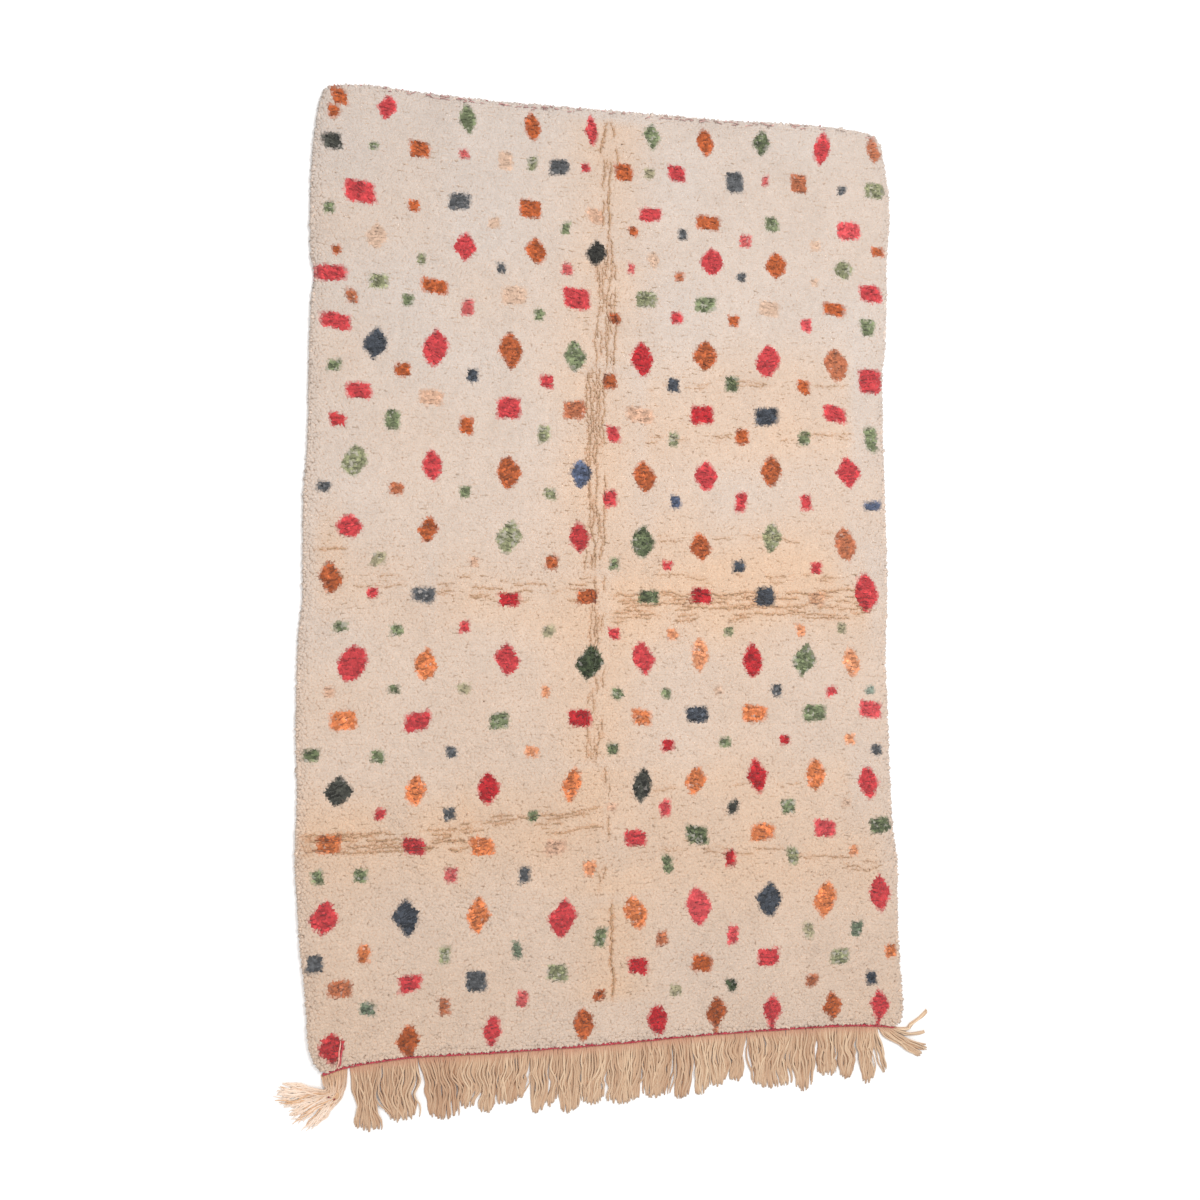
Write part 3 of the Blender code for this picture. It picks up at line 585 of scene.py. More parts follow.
# ================================================================ pile
KNOT_PITCH = 5.8 * MM           # spacing of the knots along a row
ROW_PITCH = 5.8 * MM            # spacing of the rows
ROOT_HEIGHT = 3.5 * MM          # where the tufts leave the weave
STRIPS = 5                      # the pile is made in lengthwise strips of knots
RIM_INSET = 9 * MM              # from the furthest reach back to the outermost knots
RIM_PAINTED_LIGHT = 1.18                 # painted light: how much paler the rim tufts are coloured, against the shade between them
TUFT_RADIUS = 10.2 * MM         # of a tuft at its thickest place, in the field and at the rim
RIM_TUFT_RADIUS = 7.0 * MM
BELLY_SHARE = 0.67              # height of that place, as a share of the tuft's length
BOW = 0.9                       # how far that place lags behind the lean of the tip
LEAN = 2.4 * MM                 # how far the tips lean together, and in areas of what size
LEAN_CELL = 45 * MM
LEAN_SCATTER = 1.3 * MM         # how far single tips stray from that
LENGTH_SCATTER = 0.6 * MM       # how much longer or shorter single tufts are
SWELL = 1.3 * MM                # how much the height varies, over wide areas and over narrow ones
RIM_LEAN = 7 * MM               # how far the tips lean outwards at the rim
CORD_LEAN = 5 * MM              # how far they lean over the fringe end's red cord
RIM_REACH = 16 * MM             # how far from the rim they still lean outwards
RIM_DROP = 5.5 * MM             # how much lower the pile is at the rim
DROP_REACH = 12 * MM            # how far from the rim it is still lower
RIM_SPACING = 4.6 * MM          # of the tufts that hang out over the rim
RIM_FLOOR = 2 * MM              # lowest that their tips hang
# Corners of a tuft's faces: 0 is its root, 1 to 3 are its belly and 4 is its tip.
TUFT_FACES = np.array([(0, 2, 1), (0, 3, 2), (0, 1, 3), (1, 2, 4), (2, 3, 4), (3, 1, 4)])


def tuft_arrays(root, tip, radius, turn, colours):
    """Closed tufts, each a root point, a ring of three at its belly and a tip."""
    count = len(root)
    axis = tip - root
    points = np.empty((count, 5, 3))
    points[:, 0] = root
    points[:, 4] = tip
    # The tufts bow: they rise first and lean over towards the tip.
    belly = root + axis * BELLY_SHARE
    belly[:, :2] -= axis[:, :2] * BELLY_SHARE * (1 - BELLY_SHARE) * BOW
    for corner in range(3):
        angle = turn + TAU * corner / 3
        offset = np.stack([np.cos(angle), np.sin(angle), 0 * angle], axis=1)
        points[:, 1 + corner] = belly + offset * radius[:, None]
    tip_colour, belly_colour, root_colour = colours
    shades = np.empty((count, 5, 3))
    shades[:, 0] = root_colour
    shades[:, 1:4] = belly_colour[:, None]
    shades[:, 4] = tip_colour
    faces = (np.arange(count)[:, None, None] * 5 + TUFT_FACES[None]).reshape(-1, 3)
    return points.reshape(-1, 3), faces, shades.reshape(-1, 3)


def tuft_cells(count):
    """A chart place for every face corner: a small square for each tuft, seen from above."""
    side = math.ceil(math.sqrt(count))
    local = np.full((5, 2), 0.5)
    for corner in range(3):
        angle = TAU * corner / 3
        local[1 + corner] += (0.44 * math.cos(angle), 0.44 * math.sin(angle))
    corners = np.repeat(local[TUFT_FACES][None], count, axis=0)
    corners[:, TUFT_FACES[:, 0] == 0] = 0.04
    index = np.arange(count)
    origin = np.stack([index % side, index // side], axis=1)
    return ((corners + origin[:, None, None, :]) / side).reshape(-1, 2)


def tuft_colours(x, y, rng, warmth, parted):
    """Tip, belly and root colours of tufts rooted at x, y, the belly and root darker as painted shade."""
    dye, full = dye_at(x, y, rng)
    dyed, pale_share, streaks = (np.array([DYES[name][k] for name in DYE_NAMES])[dye]
                                 for k in range(3))
    tone = rng.normal(0, 1, len(x))
    # Undyed wool: a little lighter or darker in each hank, yellower towards the fringe end and
    # greyer towards the plain end.
    drift = smooth_noise(x, y, 90 * MM, 3)
    yellowed = YELLOWED - YELLOWED_BY_END * y / HALF_LENGTH
    yellowed = yellowed + YELLOWED_BY_AREA * smooth_noise(x, y, 170 * MM, 4)
    # Around the creases the cream is warmed further as painted warm shade.
    warm = np.clip(np.maximum(yellowed, 0) + warmth * (0.85 + 0.3 * drift), 0, 1)[:, None]
    cream = mix(DYES["cream"][0], WARM_CREAM, warm)
    greyed = GREYED * np.maximum(y, 0) / HALF_LENGTH
    clump = smooth_noise(x, y, 14 * MM, 15)
    tones = 1 - greyed + KNOT_TONE * tone + HANK_TONE * drift + CLUMP_TONE * clump
    cream = cream * tones[:, None]
    # Dyed wool is streaky along the rows: some knots stay pale and some take the dye deeply.
    bent = y + 5 * MM * smooth_noise(x, y, 22 * MM, 13)
    streak = smooth_noise(0.45 * x, bent, 5 * MM, 14)
    streaky = dyed * np.exp(streaks * (DYE_BY_KNOT * tone + DYE_BY_STREAK * streak))[:, None]
    speck = smooth_noise(0.45 * x, bent, 5 * MM, 12) + rng.normal(0, 0.25, len(x))
    pale = np.clip((speck - 1 + 2.2 * pale_share) * 3, 0, 1) * (pale_share > 0) * 0.5
    streaky = mix(streaky, DYES["cream"][0], pale[:, None])
    full = full[:, None]
    # Painted shade in the creases: the tips a little darker, the bellies and roots more.
    crease_shade = 1 + parted[:, None] * (PAINTED_CREASE_SHADE - 1)
    tip = mix(cream, streaky, full) * (0.5 + 0.5 * crease_shade)
    # Painted shade low in the pile: roots are DEEP_CREAM or three quarters of the dye, and bellies lie
    # between root and tip.
    root = mix(DEEP_CREAM, 0.75 * streaky, full) * crease_shade
    return tip, (0.5 * tip + 0.5 * root) * (0.3 + 0.7 * crease_shade), root


def pile_height(x, y):
    """Length of the tufts at a point, without the scatter of single knots."""
    swell = SWELL * smooth_noise(x, y, 46 * MM, 5) + SWELL * smooth_noise(x, y, 13 * MM, 6)
    return PILE_TOP - ROOT_HEIGHT + swell


def build_pile():
    """Rows of knots over the whole field, in strips, with leaning tufts along the rim."""
    rng = np.random.default_rng(7)
    columns = round(FIELD_WIDTH / KNOT_PITCH)
    rows = round(FIELD_LENGTH / ROW_PITCH)
    i, j = np.meshgrid(np.arange(columns), np.arange(rows))
    i, j = i.ravel(), j.ravel()
    # Every other row is set half a knot across.
    u = (i + 0.5 + 0.5 * (j % 2) - 0.25 + rng.uniform(-0.30, 0.30, i.size)) / columns
    v = (j + 0.5 + rng.uniform(-0.24, 0.24, i.size)) / rows
    inset_u, inset_v = RIM_INSET / FIELD_WIDTH, RIM_INSET / FIELD_LENGTH
    u = inset_u + u * (1 - 2 * inset_u)
    v = inset_v + v * (1 - 2 * inset_v)
    ground = field_points(u, v)
    x, y = ground[:, 0], ground[:, 1]

    crease_x, crease_y, depth, parted = crease_relief(x, y)
    warmth = crease_warm_shade(x, y)
    # The wool lies smoother towards the plain end and is livelier around the creases.
    lively = np.clip(1.05 - 0.3 * y / HALF_LENGTH + 0.35 * warmth, 0.6, 1.5)
    lively *= 1 - 0.6 * parted
    lean_x, lean_y = (
        lively * (LEAN * smooth_noise(x, y, LEAN_CELL, seed) + rng.normal(0, LEAN_SCATTER, i.size))
        for seed in (1, 2)
    )
    lean_y += ripple_push(x, y)

    # Near the rim the tips lean outwards, less so over the red cord.
    edge_u = np.minimum(u, 1 - u) * FIELD_WIDTH - RIM_INSET
    edge_v_high, edge_v_low = (1 - v) * FIELD_LENGTH - RIM_INSET, v * FIELD_LENGTH - RIM_INSET
    lean_x += np.sign(u - 0.5) * RIM_LEAN * np.exp(-((edge_u / RIM_REACH) ** 2))
    lean_y += RIM_LEAN * np.exp(-((edge_v_high / RIM_REACH) ** 2))
    lean_y -= CORD_LEAN * np.exp(-((edge_v_low / RIM_REACH) ** 2))

    height = pile_height(x, y) + lively * rng.normal(0, LENGTH_SCATTER, i.size)
    rim = np.minimum(np.minimum(edge_u, edge_v_high), edge_v_low)
    height -= RIM_DROP * np.exp(-((rim / DROP_REACH) ** 2))
    height -= depth

    root = np.stack([x, y, np.full(i.size, ROOT_HEIGHT)], axis=1)
    tip = np.stack([x + crease_x + lean_x, y + crease_y + lean_y, ROOT_HEIGHT + height], axis=1)
    radius = TUFT_RADIUS * rng.uniform(0.85, 1.15, i.size) * (1 - 0.15 * parted)
    colours = tuft_colours(x, y, rng, warmth, parted)
    turn = rng.uniform(0, TAU, i.size)

    strip_of = np.minimum((u * STRIPS).astype(int), STRIPS - 1)
    pieces = []
    for strip in range(STRIPS):
        pick = strip_of == strip
        points, faces, shades = tuft_arrays(
            root[pick], tip[pick], radius[pick], turn[pick], [c[pick] for c in colours]
        )
        name = f"pile_strip_{strip + 1}"
        cells = tuft_cells(int(pick.sum()))
        pieces.append(mesh_piece(name, points, faces, PILE_WOOL, shades, cells))
    pieces.append(build_rim_tufts())
    return pieces


def build_rim_tufts():
    """Rows of knots that hang out over the edge of the weave: three at the sides, two at the ends."""
    rng = np.random.default_rng(8)
    roots, tips = [], []
    # Columns: edge, way it runs, outward direction, length, reach of the tips past the field.
    sides = (
        (LEFT, "y", (-1, 0), FIELD_LENGTH, 3.0 * MM),
        (RIGHT, "y", (1, 0), FIELD_LENGTH, 3.0 * MM),
        (HIGH, "x", (0, 1), FIELD_WIDTH, 1.5 * MM),
        (LOW, "x", (0, -1), FIELD_WIDTH, -2.5 * MM),
    )
    # Columns: name, how far in the root lies, its height and how high the tip ends.
    tiers = (
        ("high", 9 * MM, 4.0 * MM, 16.5 * MM),
        ("middle", 8 * MM, 3.0 * MM, 11.0 * MM),
        ("low", 7 * MM, 2.2 * MM, 6.5 * MM),
    )
    for edge, way, (out_x, out_y), length, reach in sides:
        for tier, inset, low, high in tiers:
            count = round(length / RIM_SPACING)
            share = (np.arange(count) + 0.5 + rng.uniform(-0.4, 0.4, count)) / count
            # The ends have no low row.
            if way == "x" and tier == "low":
                continue
            x, y = edge_points(edge, 0.004 + 0.992 * share, way).T
            away = reach + rng.normal(0, 1.8 * MM, count)
            along = rng.normal(0, 2.2 * MM, count)
            roots.append(np.stack([x - out_x * inset, y - out_y * inset, np.full(count, low)], axis=1))
            tips.append(np.stack([x + out_x * away + abs(out_y) * along,
                                  y + out_y * away + abs(out_x) * along,
                                  high + rng.normal(0, 1.2 * MM, count)], axis=1))
    root, tip = np.concatenate(roots), np.concatenate(tips)
    count = len(root)
    tip[:, 2] = np.maximum(tip[:, 2], RIM_FLOOR)
    colours = tuft_colours(root[:, 0], root[:, 1], rng, np.zeros(count), np.zeros(count))
    radius = RIM_TUFT_RADIUS * rng.uniform(0.85, 1.15, count)
    turn = rng.uniform(0, TAU, count)
    points, faces, shades = tuft_arrays(root, tip, radius, turn, colours)
    # Painted light: the rim tufts are coloured paler to lift the shade between them.
    shades = np.minimum(shades * RIM_PAINTED_LIGHT, 1)
    points[:, 2] = np.maximum(points[:, 2], WEAVE_BASE)
    return mesh_piece("pile_rim_tufts", points, faces, PILE_WOOL, shades, tuft_cells(count))


# ================================================================ woven foundation
WEAVE_BASE = 0.4 * MM           # height of the weave's underside above the floor
WEAVE_THICKNESS = 3.6 * MM
WEAVE_SHADE = 0.85              # how dark the weave is beside the dyes of its knots
WEAVE_TINT = linear(246, 218, 190)      # what its colour is multiplied by on the upper side


def build_foundation():
    """The weave that the knots are tied on: a thin closed sheet, its back in the knots' colours."""
    across, along = 44, 70          # cells of its grid
    inset_u, inset_v = OVERHANG / FIELD_WIDTH, OVERHANG / FIELD_LENGTH
    u, v = np.meshgrid(np.linspace(inset_u, 1 - inset_u, across + 1),
                       np.linspace(inset_v, 1 - inset_v, along + 1))
    ground = field_points(u.ravel(), v.ravel())
    count = len(ground)
    low = np.column_stack([ground, np.full(count, WEAVE_BASE)])
    high = np.column_stack([ground, np.full(count, WEAVE_BASE + WEAVE_THICKNESS)])
    i, j = np.meshgrid(np.arange(across), np.arange(along))
    a = (j * (across + 1) + i).ravel()
    b, c, d = a + 1, a + across + 2, a + across + 1
    faces = [np.stack([a, d, c, b], axis=1), np.stack([a, b, c, d], axis=1) + count]
    rim = list(range(across + 1))
    rim += [(across + 1) * (k + 1) + across for k in range(along)]
    rim += [(across + 1) * along + k for k in range(across - 1, -1, -1)]
    rim += [(across + 1) * k for k in range(along - 1, 0, -1)]
    rim = np.array(rim)
    after = np.roll(rim, -1)
    faces.append(np.stack([rim, after, after + count, rim + count], axis=1))
    rng = np.random.default_rng(9)
    dye, _ = dye_at(ground[:, 0], ground[:, 1], rng)
    tone = WEAVE_SHADE * np.array([DYES[name][0] for name in DYE_NAMES])[dye]
    colours = np.concatenate([tone, tone * WEAVE_TINT])
    points = np.concatenate([low, high])
    piece = mesh_piece("woven_foundation", points, np.concatenate(faces), foundation_material(),
                       colours)
    piece.data.polygons.foreach_set("use_smooth", np.zeros(len(piece.data.polygons), bool))
    return piece


# ================================================================ yarns
def resample(path, step):
    """Points about one step apart along a path, and the path's length."""
    path = np.asarray(path, float)
    reach = np.concatenate([[0], np.cumsum(np.linalg.norm(np.diff(path, axis=0), axis=1))])
    at = np.linspace(0, reach[-1], max(3, round(reach[-1] / step) + 1))
    return np.stack([np.interp(at, reach, path[:, k]) for k in range(3)], axis=1), reach[-1]


YARN_LIFT = 0.3 * MM            # lowest that a yarn's surface lies above the floor


class YarnSet:
    """Collects yarns and joins them into one mesh of closed, twisted tubes.

    sides is the number of corners around a tube and step the distance between them along it. ply
    is how deeply the tube is grooved, and twist is how far its two grooves run in one turn.
    """

    def __init__(self, sides=6, step=6 * MM, ply=0.2, twist=16 * MM):
        self.sides, self.step, self.ply, self.twist = sides, step, ply, twist
        self.points, self.colours, self.faces = [], [], []
        self.total = 0

    def add(self, path, radius, colour, root_colour=None, taper=0.55, phase=0.0, root_share=0.16):
        """One closed yarn along a path.

        Its last fifth narrows to the taper, and its colour changes from that of the root to its
        own over the root's share of its length. The phase turns its grooves.
        """
        path, length = resample(path, self.step)
        count = len(path)
        ahead = np.gradient(path, axis=0)
        ahead /= np.linalg.norm(ahead, axis=1)[:, None]
        side = np.cross(ahead, UP)
        side /= np.maximum(np.linalg.norm(side, axis=1), 1e-6)[:, None]
        up = np.cross(side, ahead)
        share = np.linspace(0, 1, count)
        width = radius * np.where(share > 0.8, 1 - (1 - taper) * ((share - 0.8) / 0.2) ** 2, 1.0)
        rings = []
        for n in range(self.sides):
            angle = TAU * n / self.sides
            lobes = 1 + self.ply * np.cos(2 * (angle - TAU * share * length / self.twist) + phase)
            reach = (width * lobes)[:, None]
            rings.append(path + reach * (math.cos(angle) * side + math.sin(angle) * up))
        body = np.stack(rings, axis=1).reshape(-1, 3)
        points = np.concatenate([body, path[:1], path[-1:]])
        points[:, 2] = np.maximum(points[:, 2], YARN_LIFT)
        base = self.total
        k, n = np.meshgrid(np.arange(count - 1), np.arange(self.sides), indexing="ij")
        a = k * self.sides + n
        b = k * self.sides + (n + 1) % self.sides
        quads = np.stack([a, a + self.sides, b + self.sides, b], axis=-1).reshape(-1, 4)
        tris = np.concatenate([quads[:, [0, 1, 2]], quads[:, [0, 2, 3]]])
        ends = []
        last = (count - 1) * self.sides
        for n in range(self.sides):
            after = (n + 1) % self.sides
            ends.append((n, after, len(body)))
            ends.append((last + after, last + n, len(body) + 1))
        self.faces.append(np.concatenate([tris, np.array(ends)]) + base)
        blend = np.clip(share / root_share, 0, 1)[:, None]
        tone = mix(colour if root_colour is None else root_colour, colour, blend)
        tone = np.repeat(tone, self.sides, axis=0)
        self.colours.append(np.concatenate([tone, tone[:1], tone[-1:]]))
        self.points.append(points)
        self.total += len(points)

    def build(self, name, material):
        """The piece made of all the yarns."""
        return mesh_piece(name, np.concatenate(self.points), np.concatenate(self.faces), material,
                          np.concatenate(self.colours))


FRINGE_CREAM = linear(215, 185, 155)
FRINGE_SHADE = linear(183, 143, 113)
FRINGE_ROOT = linear(196, 146, 120)
# Painted shade: the colour of the strands in the parted lines, and the dark and faint ends of the strands
# in the ripples.
CREASE_SHADE_BROWN = linear(187, 151, 115)
RIPPLE_SHADE_BROWN = linear(192, 160, 128)
RIPPLE_SHADE_PALE = linear(206, 182, 160)
# Strokes across a motif, in rows: brightness of its dye, and how bright the strokes are beside it.
# They are painted shade between the rows of knots; the darkest wools have paler strokes, a painted
# highlight.
STROKE_SHADE = ((0.06, 0.09, 0.3, 0.4), (1.9, 0.42, 0.45, 0.66))
TASSEL_CREAM = linear(246, 226, 210)
TASSEL_SHADE = linear(236, 210, 187)
# Painted shade: the tan of the tassel's neck, where its yarns gather.
TASSEL_NECK_SHADE = linear(204, 164, 130)
TASSEL_ORANGE = linear(222, 180, 142)
RED = linear(192, 72, 82)
DARK_RED = linear(138, 36, 48)
DULL_RED = linear(190, 136, 130)
MAUVE = linear(160, 104, 108)
FLECK_PINK = linear(214, 172, 164)
FLECK_GREY = linear(158, 138, 128)
PALE_PINK = linear(226, 168, 152)

# Bunches of the fringe in mm, close to the solids. Columns: first and last root along the end, first
# and last tip as x and y, and how far the yarns run down before they lean to their tips.
BUNCHES = (
    (-648, -578, -634, -1350, -574, -1360, 70),
    (-578, -488, -566, -1334, -492, -1344, 60),
    (-488, -408, -458, -1338, -398, -1346, 45),
    (-408, -340, -388, -1318, -348, -1322, 60),
    (-340, -290, -335, -1338, -300, -1334, 60),
    (-290, -212, -290, -1326, -226, -1310, 60),
    (-212, -166, -212, -1350, -176, -1346, 60),
    (-166, -140, -168, -1334, -149, -1332, 60),
    (-140, -82, -138, -1350, -94, -1356, 70),
    (-82, -18, -84, -1336, -32, -1338, 60),
    (-18, 72, -18, -1342, 64, -1340, 60),
    (72, 150, 76, -1332, 142, -1334, 60),
    (150, 196, 154, -1344, 192, -1338, 60),
    (196, 244, 204, -1338, 240, -1330, 60),
    (244, 298, 252, -1322, 292, -1314, 60),
    (298, 346, 300, -1308, 330, -1310, 50),
    (346, 470, 362, -1328, 462, -1336, 50),
    (470, 530, 478, -1350, 520, -1344, 50),
    (530, 590, 534, -1312, 586, -1316, 60),
    (590, 648, 596, -1326, 636, -1322, 60),
    (648, 692, 658, -1344, 692, -1336, 60),
    (692, 704, 716, -1324, 728, -1316, 50),
    (704, 738, 808, -1288, 842, -1274, 48),
    (738, 747, 834, -1226, 834, -1226, 30),
    (747, 757, 844, -1178, 844, -1178, 20),
)
YARN_RADIUS = 2.2 * MM
# Layers of the fringe from below. Columns: spacing of the yarns, how high they rise and their
# radius, in mm, how far each one strays from its neighbours, and how pale it is at least and most.
# The lower layers are darker: painted shade under the yarns lying over them.
FRINGE_LAYERS = (
    (4.8, 0.0, 3.4, 0.3, 0.2, 0.7),
    (6.2, 3.0, 2.3, 0.7, 0.3, 0.9),
    (8.5, 6.0, 2.2, 1.3, 0.4, 1.1),
)
SWAY = 11 * MM                  # how far neighbouring yarns sway together
SWAY_CELL = 42 * MM             # size of the areas that sway together
FRINGE_LENGTH = 125 * MM        # about the length of a yarn
GATHER = 0.92                   # how close the tips of a wide bunch gather
LOBE = 11 * MM                  # how much shorter a bunch is at its two sides


def cord_line(x):
    """The red cord's middle at the fringe end."""
    read = LOW[0]
    return read(np.asarray(x, float)) - CORD_OFFSET


def fringe_path(bunch, share, stray, lift, rng):
    """One yarn's path, from its root at a share of the bunch's width to its tip on the floor."""
    root_first, root_last, x_first, y_first, x_last, y_last, run_down = bunch
    root_x = (root_first + share * (root_last - root_first)) * MM
    root = np.array((root_x, float(cord_line(root_x)) - 1.0 * MM))
    spread = np.clip(0.5 + (share - 0.5) * GATHER + stray * rng.normal(0, 0.14), 0, 1)
    tip = np.array((x_first + spread * (x_last - x_first), y_first + spread * (y_last - y_first)))
    tip = tip * MM + np.array((stray * rng.normal(0, 3 * MM), 0))
    tip[1] += LOBE * (2 * spread - 1) ** 2 + rng.uniform(-6, 10) * MM
    # It runs down from its root, turns at its knee and lies out to its tip.
    knee = root + np.array((stray * rng.normal(0, 10 * MM), -run_down * MM))
    knee[0] += 0.4 * (tip[0] - root_x)
    t = np.linspace(0, 1, 26)
    steps = t[:, None]
    flat = root * (1 - steps) ** 2 + knee * 2 * steps * (1 - steps) + tip * steps**2
    # It sways with its neighbours and a little by itself, least at its root.
    sway = SWAY * smooth_noise(root_x + 0 * t, FRINGE_LENGTH * t, SWAY_CELL, 71)
    sway += 0.35 * SWAY * smooth_noise(root_x + 0 * t, FRINGE_LENGTH * t, 0.4 * SWAY_CELL, 72)
    own = rng.uniform(1.0, 4.5) * MM * np.sin(TAU * (rng.uniform() + rng.uniform(0.8, 2.2) * t))
    crimp = rng.uniform(0.4, 1.4) * MM * np.sin(TAU * (rng.uniform() + rng.uniform(2.4, 4.0) * t))
    hold = np.clip(1.8 * t, 0, 1) * (1 - 0.5 * np.clip((t - 0.6) / 0.4, 0, 1))
    flat[:, 0] += (sway + stray * own + crimp) * hold
    # It rises over the yarns below and comes down at its tip.
    rise = np.clip(t / 0.22, 0, 1) * (1 - 0.85 * np.clip((t - 0.7) / 0.3, 0, 1))
    height = YARN_RADIUS + (lift + rng.uniform(0, 1.8)) * MM * rise
    return np.column_stack([flat, height])


def inside_pile(x, y):
    """Whether all the points lie on the pile, clear of its rim."""
    clear = 14 * MM
    return bool(np.all((x > LEFT[0](y) + clear) & (x < RIGHT[0](y) - clear)
                       & (y > LOW[0](x) + clear) & (y < HIGH[0](x) - clear)))


def crease_paths(rng):
    """Short wavy paths along the open parted lines. Each: x and y, how deep it lies, radius."""
    for band, (way, first, last, _, _, count, deep, _) in enumerate(CREASE_BANDS):
        for k in range(count):
            at = (first + rng.uniform(0, 2)) * CM
            while at < last * CM:
                length = rng.uniform(9, 30) * MM
                along = np.linspace(at, at + length, 2 + round(length / (4 * MM)))
                line, open_here = parted_line(band, k, along)
                if open_here.mean() > rng.uniform(0.1, 0.7):
                    x, y = (line, along) if way == "y" else (along, line)
                    yield x, y, 1.6 * MM, 0.22 * deep * MM * rng.uniform(0.7, 1.2)
                at += length + rng.uniform(0, 6) * MM


def ripple_paths(rng):
    """Short paths along the faint ripples of the whole pile, as in crease_paths."""
    rows = round(HALF_LENGTH / RIPPLE_PITCH)
    for row in range(-rows, rows):
        at = -HALF_WIDTH + rng.uniform(0.5, 3) * CM
        while at < HALF_WIDTH:
            length = rng.uniform(6, 18) * MM
            x = np.linspace(at, at + length, 2 + round(length / (6 * MM)))
            y = (row + 0.5) * RIPPLE_PITCH + 0 * x
            y = y - ripple_bend(x, y - ripple_bend(x, y))
            if ripple_open(x, row).mean() > rng.uniform(0.3, 1.1):
                yield x, y, 2.0 * MM, 0.9 * MM
            at += length + rng.uniform(4, 22) * MM


def motif_paths(rng):
    """Short strokes across each dyed motif, as in crease_paths."""
    t = np.linspace(-0.5, 0.5, 4)
    for shape, _, cx, cy, width, height in MOTIFS:
        slope = rng.normal(0, 0.25)
        count = max(2, round(height / (9 * MM)))
        for k in range(count):
            rise = ((k + 0.5 + rng.uniform(-0.3, 0.3)) / count - 0.5) * height
            span = width * (1 - abs(2 * rise / height) if shape == "lozenge" else 0.8)
            # Two strokes side by side where the motif is wide.
            for _ in range(1 + (span > 36 * MM)):
                length = min(rng.uniform(9, 20) * MM, max(span, 8 * MM))
                middle = rng.uniform(-0.5, 0.5) * max(span - length, 0)
                x = cx + middle + length * t
                y = cy + rise + slope * (middle + length * t) + 1.5 * MM * rng.normal(0, 1, 4)
                yield x, y, 1.2 * MM, 0.9 * MM


def build_painted_shade_strands():
    """Thin strands in the pile's parted lines, in its ripples and across its motifs: painted shade, and on
    the darkest dyes painted highlight.
    """
    rng = np.random.default_rng(10)
    sets = (("crease", crease_paths(rng)), ("ripple", ripple_paths(rng)),
            ("motif", motif_paths(rng)))
    laid = [(kind, path) for kind, paths in sets for path in paths if inside_pile(*path[:2])]
    middles = np.array([(x[len(x) // 2], y[len(x) // 2]) for _, (x, y, _, _) in laid])
    dye, full = dye_at(middles[:, 0], middles[:, 1], rng)
    # The painted shade of the ripples is sparse and faint far from the creases.
    close = np.clip(crease_warm_shade(middles[:, 0], middles[:, 1]) / 0.45, 0, 1)
    yarns = YarnSet(sides=3, step=5.5 * MM, ply=0.0)
    for k, (kind, (x, y, sink, radius)) in enumerate(laid):
        if kind == "motif" and full[k] < 0.6:
            continue
        if kind == "ripple" and rng.uniform() > 0.3 + 0.7 * close[k]:
            continue
        dyed = DYES[DYE_NAMES[dye[k]]][0]
        # Motif strokes: darker than the dye as painted shade, paler on the darkest dyes as painted
        # highlight.
        stroke = dyed * np.interp(dyed.mean(), *STROKE_SHADE)
        # Crease and ripple strands are painted shade; where they cross dyed wool they take its stroke
        # colour.
        shade_line_colour = CREASE_SHADE_BROWN if kind == "crease" else mix(RIPPLE_SHADE_PALE, RIPPLE_SHADE_BROWN, close[k])
        colour = stroke if kind == "motif" else mix(shade_line_colour, stroke, full[k])
        z = ROOT_HEIGHT + pile_height(x, y) - sink
        z[[0, -1]] -= 1.5 * MM
        yarns.add(np.stack([x, y, z], axis=1), radius, colour * rng.uniform(0.85, 1.15), taper=0.4)
    return yarns.build("crease_strands", PILE_WOOL)


def build_fringe():
    """Loose warp yarns in bunches: a close layer below, darker as painted shade, and wavier, paler ones
    lying over it.
    """
    rng = np.random.default_rng(21)
    yarns = YarnSet(sides=5, step=7.4 * MM)
    for bunch in BUNCHES:
        width = bunch[1] - bunch[0]
        for spacing, lift, radius, stray, dull, pale in FRINGE_LAYERS:
            count = max(1, round(width / spacing))
            for k in range(count):
                share = np.clip((k + 0.5 + rng.uniform(-0.35, 0.35)) / count, 0, 1)
                path = fringe_path(bunch, share, stray, lift, rng)
                # Paler towards the right, and from one bunch to another.
                tone = rng.uniform(dull, pale) + 0.15 * path[0, 0] / HALF_WIDTH
                tone += 0.3 * float(smooth_noise(path[0, 0], 0, 30 * MM, 73))
                yarns.add(path, radius * MM * rng.uniform(0.85, 1.15),
                          mix(FRINGE_SHADE, FRINGE_CREAM, tone), taper=0.55,
                          root_colour=FRINGE_ROOT * rng.uniform(0.9, 1.05),
                          phase=rng.uniform(0, TAU))
    return yarns.build("fringe_yarns", YARN_WOOL)


# Tips of the tassel's fan in mm, from the left yarns round to the right ones.
TASSEL_TIPS = ((-806, -1232), (-813, -1244), (-823, -1272), (-797, -1288), (-786, -1308),
               (-777, -1330), (-748, -1346), (-731, -1340))
TASSEL_YARNS = 80
TASSEL_BEND = ((-704, -1254), (-667, -1277))    # where its yarns turn, from the left to the right


